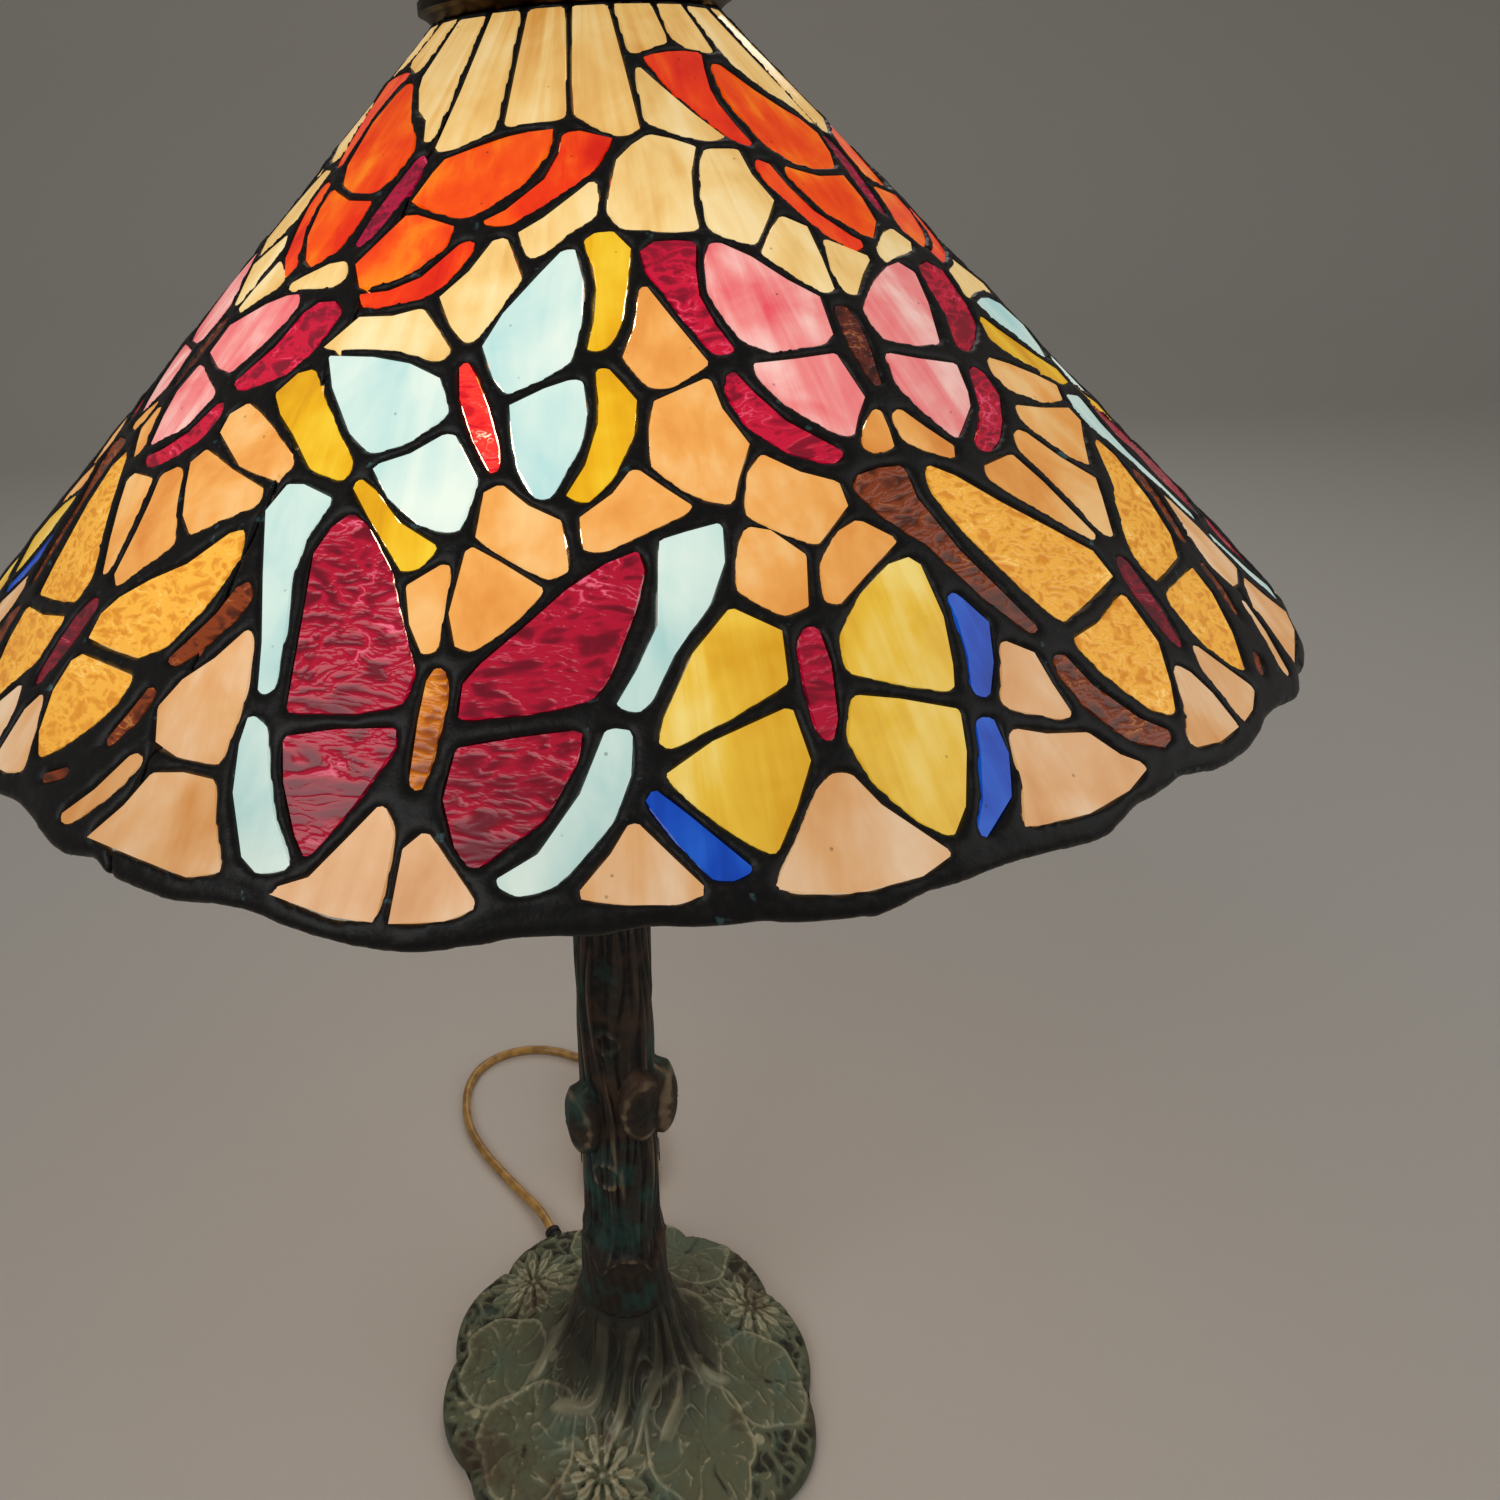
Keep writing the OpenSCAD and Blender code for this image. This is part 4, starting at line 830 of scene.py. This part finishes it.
class LAMP_OT_metal(bpy.types.Operator):
    """Finish the spun, turned, drawn and moulded parts that keep their frame shape"""
    bl_idname = "lamp.metal"
    bl_label = "Metal and small parts"

    def execute(self, context):
        finishes = {
            worked_metal("dark patina spinning", "4A3520", "1C140D", roughness=0.34): (
                "crown_ring", "shade_cap", "finial"),
            worked_metal("aged brass", "A98646", "6B5228", roughness=0.32): (
                "trunk_collar", "cluster_body", "cluster_cap", "check_ring", "seat_washer"),
            worked_metal("drawn brass shell", "D9B268", "A98545", roughness=0.24): (
                "socket_shell_front", "socket_shell_back", "screw_shell_front", "screw_shell_back"),
            worked_metal("bright brass blade", "E3C67E", "C4A35C", roughness=0.2): ("plug_blades",),
            worked_metal("zinc plated steel", "B9B8B4", "8B8A86", roughness=0.3, brushed=0.2): (
                "centre_pipe", "riser_rod", "lock_washer", "lock_nut", "socket_nipples"),
            worked_metal("rolled aluminium", "D8D8D6", "B4B4B2", roughness=0.25): (
                "bulb_base_front", "bulb_base_back"),
            worked_metal("grey cast iron", "4B4A49", "2E2D2C", metallic=0.7, roughness=0.6): (
                "ballast_ring",),
            moulded("green felt", "2E4634", "1F3325", roughness=0.95, grain=0.8, depth=0.5, sheen=0.4): (
                "felt_pad",),
            moulded("black rubber", "1A1816", "100F0E", roughness=0.6): ("cord_bushing",),
            moulded("brown phenolic", "2A1B14", "1C110C", roughness=0.35): ("socket_blocks",),
            moulded("vulcanised fibre", "6A4A32", "523725", roughness=0.8): ("socket_liners",),
            frosted_bulb(): ("bulb_glass_front", "bulb_glass_back"),
        }
        for material, nodes in finishes.items():
            for node in nodes:
                paint(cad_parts[node], material)
        return {"FINISHED"}


class LAMP_OT_chains(bpy.types.Operator):
    """String the two bead chains with their bell ends"""
    bl_idname = "lamp.chains"
    bl_label = "Pull chains"

    def execute(self, context):
        brass = worked_metal("bead chain brass", "D2AC62", "9E7B3E", roughness=0.22)
        bead, pitch = 1.6 * MM, 4 * MM
        bell_h, bell_r = 12 * MM, 4.2 * MM
        for side in ("front", "back"):
            node = "pull_chain_" + side
            top, foot = high(node).z, low(node).z
            x, y = centre(node).x, centre(node).y
            bm = bmesh.new()
            count = int((top - foot - bell_h) / pitch)
            for i in range(count):
                at = Matrix.Translation((x, y, top - bead - i * pitch))
                bmesh.ops.create_icosphere(bm, subdivisions=2, radius=bead, matrix=at)
            bmesh.ops.create_cone(bm, cap_ends=True, segments=8, radius1=0.45 * MM, radius2=0.45 * MM,
                                  depth=top - foot - bell_h, matrix=Matrix.Translation(
                                      (x, y, (top + foot + bell_h) / 2)))
            profile = [(0.01, 0), (0.55, 0), (0.9, 0.02), (1.0, 0.1), (0.8, 0.32), (0.62, 0.6), (0.5, 0.8),
                       (0.42, 0.92), (0.25, 1.0), (0.01, 1.02)]
            bell = spun([(r * bell_r, h * bell_h) for r, h in along(profile, 24)], 32)
            bmesh.ops.translate(bell, vec=(x, y, foot), verts=bell.verts)
            part = bpy.data.meshes.new("bell")
            bell.to_mesh(part)
            bell.free()
            bm.from_mesh(part)
            bpy.data.meshes.remove(part)
            piece = mesh_object("bead_chain_" + side, bm, "chain_" + side)
            paint(piece, brass)
            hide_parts(node)
        return {"FINISHED"}


# ---- Cord ----

def hank_path():
    """Points of the wound part: six laps in two columns and three layers, then up to the plug's tail.
    Each change of column or layer has its own place on the lap, so no turn lies in another."""
    diameter = bpy.context.scene.lamp_cord.diameter
    low_corner, high_corner = low("cord_hank"), high("cord_hank")
    cx = (low_corner.x + high_corner.x) / 2
    cy = (low_corner.y + high_corner.y) / 2
    outer = (high_corner.x - low_corner.x) / 2 - diameter / 2 - 0.05 * MM
    inner = outer - diameter
    half = (high_corner.y - low_corner.y) / 2 - outer - diameter / 2
    first = 2.8 * MM
    states = [(outer, first), (inner, first), (inner, first + diameter), (outer, first + diameter),
              (outer, first + 2 * diameter), (inner, first + 2 * diameter)]
    # Where on the lap each change starts and ends: arcs count 1 a quarter and straights 1 each
    changes = [(4.5, 5.0), (4.0, 4.5), (2.2, 3.8), (1.5, 2.0), (1.0, 1.5)]
    last_part = 4.0
    points = []
    for lap, state in enumerate(states):
        parts = last_part if lap == len(states) - 1 else 6.0
        steps = int(parts * 8)
        for i in range(steps):
            p = parts * i / steps
            r, z = state
            if lap < len(changes):
                start, end = changes[lap]
                share = (1 - math.cos(math.pi * min(1.0, max(0.0, (p - start) / (end - start))))) / 2
                r += (states[lap + 1][0] - r) * share
                z += (states[lap + 1][1] - z) * share
            elif p > 2:
                rise = (1 - math.cos(math.pi * min(1.0, (p - 2) / 2.6))) / 2
                z += (centre("plug_body").z - z) * rise
            if p < 1 or 2 <= p < 4 or p >= 5:
                quarter = p if p < 1 else p - 1 if p < 4 else p - 2
                angle = math.radians(90 - 90 * quarter)
                middle_y = cy - half if 2 <= p < 4 else cy + half
                points.append((cx + r * math.cos(angle), middle_y + r * math.sin(angle), z))
            elif p < 2:
                points.append((cx + r, cy + half - 2 * half * (p - 1), z))
            else:
                points.append((cx - r, cy - half + 2 * half * (p - 4), z))
    plug_x, plug_z = centre("plug_body").x, centre("plug_body").z
    tail_y = low("plug_body").y
    start = Vector((cx - inner, cy - half, 0))
    for i in range(6):
        share = i / 6
        bend = (1 - math.cos(math.pi * share)) / 2
        rise = (1 - math.cos(math.pi * min(1.0, (2 + share * 0.6) / 2.6))) / 2
        z = states[-1][1] + (plug_z - states[-1][1]) * rise
        points.append((start.x + (plug_x - start.x) * bend, start.y + (tail_y - start.y) * share, z))
    points += [(plug_x, tail_y, plug_z), (plug_x, tail_y + 6 * MM, plug_z)]
    return points


def smooth_line(points, step):
    """A curve through the points as a close list, by Catmull and Rom's rule."""
    pts = [Vector(p) for p in points]
    pts = [2 * pts[0] - pts[1]] + pts + [2 * pts[-1] - pts[-2]]
    line = []
    for a, b, c, d in zip(pts, pts[1:], pts[2:], pts[3:]):
        count = max(1, round((c - b).length / step))
        for i in range(count):
            t = i / count
            line.append(0.5 * (2 * b + (c - a) * t + (2 * a - 5 * b + 4 * c - d) * t * t
                               + (3 * b - a - 3 * c + d) * t ** 3))
    line.append(pts[-2])
    return line


class LAMP_OT_cord(bpy.types.Operator):
    """Lay the cord over the table, wind the rest into a hank and put its plug on top"""
    bl_idname = "lamp.cord"
    bl_label = "Cord and plug"

    def execute(self, context):
        cord = context.scene.lamp_cord
        line = smooth_line(CORD_ROUTE + hank_path(), 4 * MM)
        piece = bpy.data.objects.new("supply_cord", round_wire(line, cord.diameter / 2, 3))
        context.scene.collection.objects.link(piece)
        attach(piece, "stand")
        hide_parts("cord", "cord_hank")
        material, tree = new_material("gold vinyl cord")
        place = add(tree, "TexCoord").outputs["Object"]
        mottle = add(tree, "TexNoise", {"Vector": place, "Scale": 1 / (8 * MM), "Detail": 3.0})
        tone = add(tree, "ValToRGB", {"Fac": mottle.outputs["Fac"]},
                   stops=[(0.35, "8A6426"), (0.65, "BE9348")])
        fine = add(tree, "TexNoise", {"Vector": place, "Scale": 1 / (1.5 * MM)})
        bump = add(tree, "Bump", {"Height": fine.outputs["Fac"], "Strength": 0.2, "Distance": 0.1 * MM})
        surface(tree, {"Base Color": tone.outputs["Color"], "Roughness": 0.34, "Coat Weight": 0.2,
                       "Normal": bump.outputs["Normal"]})
        paint(piece, material)
        plug = self.plug()
        tie = self.tie()
        return {"FINISHED"}

    def plug(self):
        """A moulded plug with finger grips and a ribbed, tapered tail."""
        lo, hi = low("plug_body"), high("plug_body")
        middle = (lo + hi) / 2
        width, height = hi.x - lo.x, hi.z - lo.z
        front = hi.y
        bm = bmesh.new()
        sides = 32
        # Share of the half width, share of the half height, squareness, place from the front
        rings = [(0.9, 0.8, 4.5, 0.0), (0.98, 0.9, 4.5, 0.4), (1.0, 0.95, 4.5, 1.6), (1.0, 1.0, 4.0, 5),
                 (0.93, 0.98, 3.6, 9), (0.86, 0.96, 3.4, 13), (0.9, 0.98, 3.2, 17), (0.92, 0.98, 3.0, 20),
                 (0.8, 0.9, 2.6, 23.5), (0.55, 0.78, 2.2, 26), (0.44, 0.7, 2, 27.5)]
        rings += [(0.42 - 0.008 * i - 0.03 * (i % 2), 0.67 - 0.012 * i - 0.048 * (i % 2), 2, 28.6 + 1.05 * i)
                  for i in range(15)]
        loops = []
        for wide, tall, square, back_by in rings:
            loop = []
            for i in range(sides):
                c, s = math.cos(TAU * i / sides), math.sin(TAU * i / sides)
                x = math.copysign(abs(c) ** (2 / square), c) * wide * width / 2
                z = math.copysign(abs(s) ** (2 / square), s) * tall * height / 2
                loop.append(bm.verts.new((middle.x + x, front - back_by * MM, middle.z + z)))
            loops.append(loop)
        join_rows(bm, loops, ring=True)
        bm.faces.new(loops[0])
        bm.faces.new(loops[-1])
        bmesh.ops.recalc_face_normals(bm, faces=bm.faces)
        piece = mesh_object("moulded_plug", bm, "stand")
        rounding = piece.modifiers.new("rounding", "SUBSURF")
        rounding.levels = rounding.render_levels = 1
        paint(piece, moulded("gold vinyl plug", "A98242", "80602A", roughness=0.4))
        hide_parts("plug_body")
        return piece

    def tie(self):
        """A flat strap buckled round the hank."""
        lo, hi = low("cord_hank"), high("cord_hank")
        at_y = low("plug_body").y - 14 * MM
        wide, thick = 7 * MM, 0.9 * MM
        cx = (lo.x + hi.x) / 2
        half_x, top = (hi.x - lo.x) / 2, hi.z
        outline = [(-half_x - thick, 5), (-half_x - thick, top / MM - 4), (-half_x + 3 * MM, top / MM + 0.6)]
        path = []
        for sx, corners in ((-1, outline), (1, outline[::-1])):
            for x, z in corners:
                path.append((x * (1 if sx < 0 else -1), z * MM))
        path += [(half_x - 2 * MM, 0.7 * MM), (-half_x + 2 * MM, 0.7 * MM)]
        bm = bmesh.new()
        rows = [[bm.verts.new((cx + x, at_y + dy, z)) for dy in (-wide / 2, wide / 2)] for x, z in path]
        join_rows(bm, rows + rows[:1])
        bmesh.ops.recalc_face_normals(bm, faces=bm.faces)
        bmesh.ops.solidify(bm, geom=bm.faces[:], thickness=thick)
        bmesh.ops.recalc_face_normals(bm, faces=bm.faces)
        piece = mesh_object("cord_tie", bm, "stand", smooth=False)
        edge = piece.modifiers.new("edge", "BEVEL")
        edge.width = 0.25 * MM
        edge.segments = 2
        paint(piece, moulded("black hook and loop strap", "1C1B1A", "121110", roughness=0.9, grain=0.7,
                             depth=0.3))
        return piece


# ---- Stage ----

class LAMP_OT_stage(bpy.types.Operator):
    """Lay the floor, hang the soft lights and set the camera"""
    bl_idname = "lamp.stage"
    bl_label = "Stage"

    def execute(self, context):
        stage = context.scene.lamp_stage
        bm = bmesh.new()
        # The floor runs back and curves up into a plain wall behind the lamp
        reach, bend = 2.2, 0.9
        line = [(-4.0, 0.0), (reach, 0.0)]
        line += [(reach + bend * math.sin(a * TAU / 64), bend * (1 - math.cos(a * TAU / 64)))
                 for a in range(1, 17)]
        line += [(reach + bend, 5.0)]
        rows = [[bm.verts.new((x, y, z)) for x in (-5.0, 5.0)] for y, z in line]
        join_rows(bm, rows)
        mesh = bpy.data.meshes.new("floor")
        bm.to_mesh(mesh)
        bm.free()
        mesh.polygons.foreach_set("use_smooth", [True] * len(mesh.polygons))
        floor = bpy.data.objects.new("floor", mesh)
        context.scene.collection.objects.link(floor)
        material, tree = new_material("matt floor paint")
        surface(tree, {"Base Color": linear(stage.floor_hex), "Roughness": 0.7})
        floor.data.materials.append(material)

        world = bpy.data.worlds.new("soft room")
        context.scene.world = world
        world.use_nodes = True
        sky = world.node_tree.nodes["Background"]
        sky.inputs["Color"].default_value = linear("DAD8D6")
        sky.inputs["Strength"].default_value = stage.room

        for name, place, power, size in (
                ("key light", (-1.0, -1.3, 1.5), stage.key, 1.2),
                ("fill light", (1.5, -0.6, 1.1), stage.key * 0.5, 1.4),
                ("back light", (0.2, 1.6, 1.6), stage.key * 0.7, 1.2)):
            data = bpy.data.lights.new(name, "AREA")
            data.energy = power
            data.size = size
            lamp = bpy.data.objects.new(name, data)
            lamp.location = place
            aim = Vector((0, 0, 0.3)) - Vector(place)
            lamp.rotation_euler = aim.to_track_quat("-Z", "Y").to_euler()
            context.scene.collection.objects.link(lamp)
        self.camera(context)
        context.scene.view_settings.view_transform = "Standard"
        return {"FINISHED"}

    def camera(self, context):
        """A wide lens close to the shade, tilted down at it and slightly rolled."""
        data = bpy.data.cameras.new("camera")
        data.sensor_width = 36
        data.lens = 28.4
        data.shift_x, data.shift_y = 0.1337, -0.1162
        tilt, pan, roll = math.radians(18.98), math.radians(-2.46), math.radians(-3.05)
        ahead = Vector((math.sin(pan) * math.cos(tilt), math.cos(pan) * math.cos(tilt), -math.sin(tilt)))
        level = Vector((math.cos(pan), -math.sin(pan), 0))
        upright = level.cross(ahead)
        right = level * math.cos(roll) + upright * math.sin(roll)
        up = upright * math.cos(roll) - level * math.sin(roll)
        camera = bpy.data.objects.new("camera", data)
        camera.matrix_world = Matrix.Translation((0, -0.4328, 0.584)) @ Matrix(
            (right, up, -ahead)).transposed().to_4x4()
        context.scene.collection.objects.link(camera)
        context.scene.camera = camera


class LAMP_PT_panel(bpy.types.Panel):
    """The steps that build the lamp, in order"""
    bl_idname = "LAMP_PT_panel"
    bl_label = "Butterfly Lamp"
    bl_space_type = "VIEW_3D"
    bl_region_type = "UI"
    bl_category = "Lamp"

    def draw(self, context):
        for step in STEPS:
            self.layout.operator(step.bl_idname)
        for group in SETTINGS:
            box = self.layout.box()
            owner = getattr(context.scene, group)
            for name in owner.bl_rna.properties.keys():
                if name not in {"rna_type", "name"}:
                    box.prop(owner, name)


SETTINGS = {"lamp_glass": LampGlass, "lamp_metal": LampMetal, "lamp_cord": LampCord, "lamp_stage": LampStage}
STEPS = (LAMP_OT_stage, LAMP_OT_cord, LAMP_OT_glass, LAMP_OT_solder, LAMP_OT_base, LAMP_OT_trunk,
         LAMP_OT_metal, LAMP_OT_chains)


def register():
    for name, group in SETTINGS.items():
        bpy.utils.register_class(group)
        setattr(bpy.types.Scene, name, bpy.props.PointerProperty(type=group))
    for step in STEPS + (LAMP_PT_panel,):
        bpy.utils.register_class(step)


def unregister():
    for step in reversed(STEPS + (LAMP_PT_panel,)):
        bpy.utils.unregister_class(step)
    for name, group in SETTINGS.items():
        delattr(bpy.types.Scene, name)
        bpy.utils.unregister_class(group)


def main():
    register()
    for step in STEPS:
        group, name = step.bl_idname.split(".")
        getattr(getattr(bpy.ops, group), name)()
    bpy.context.view_layer.update()


if __name__ == "__main__":
    main()
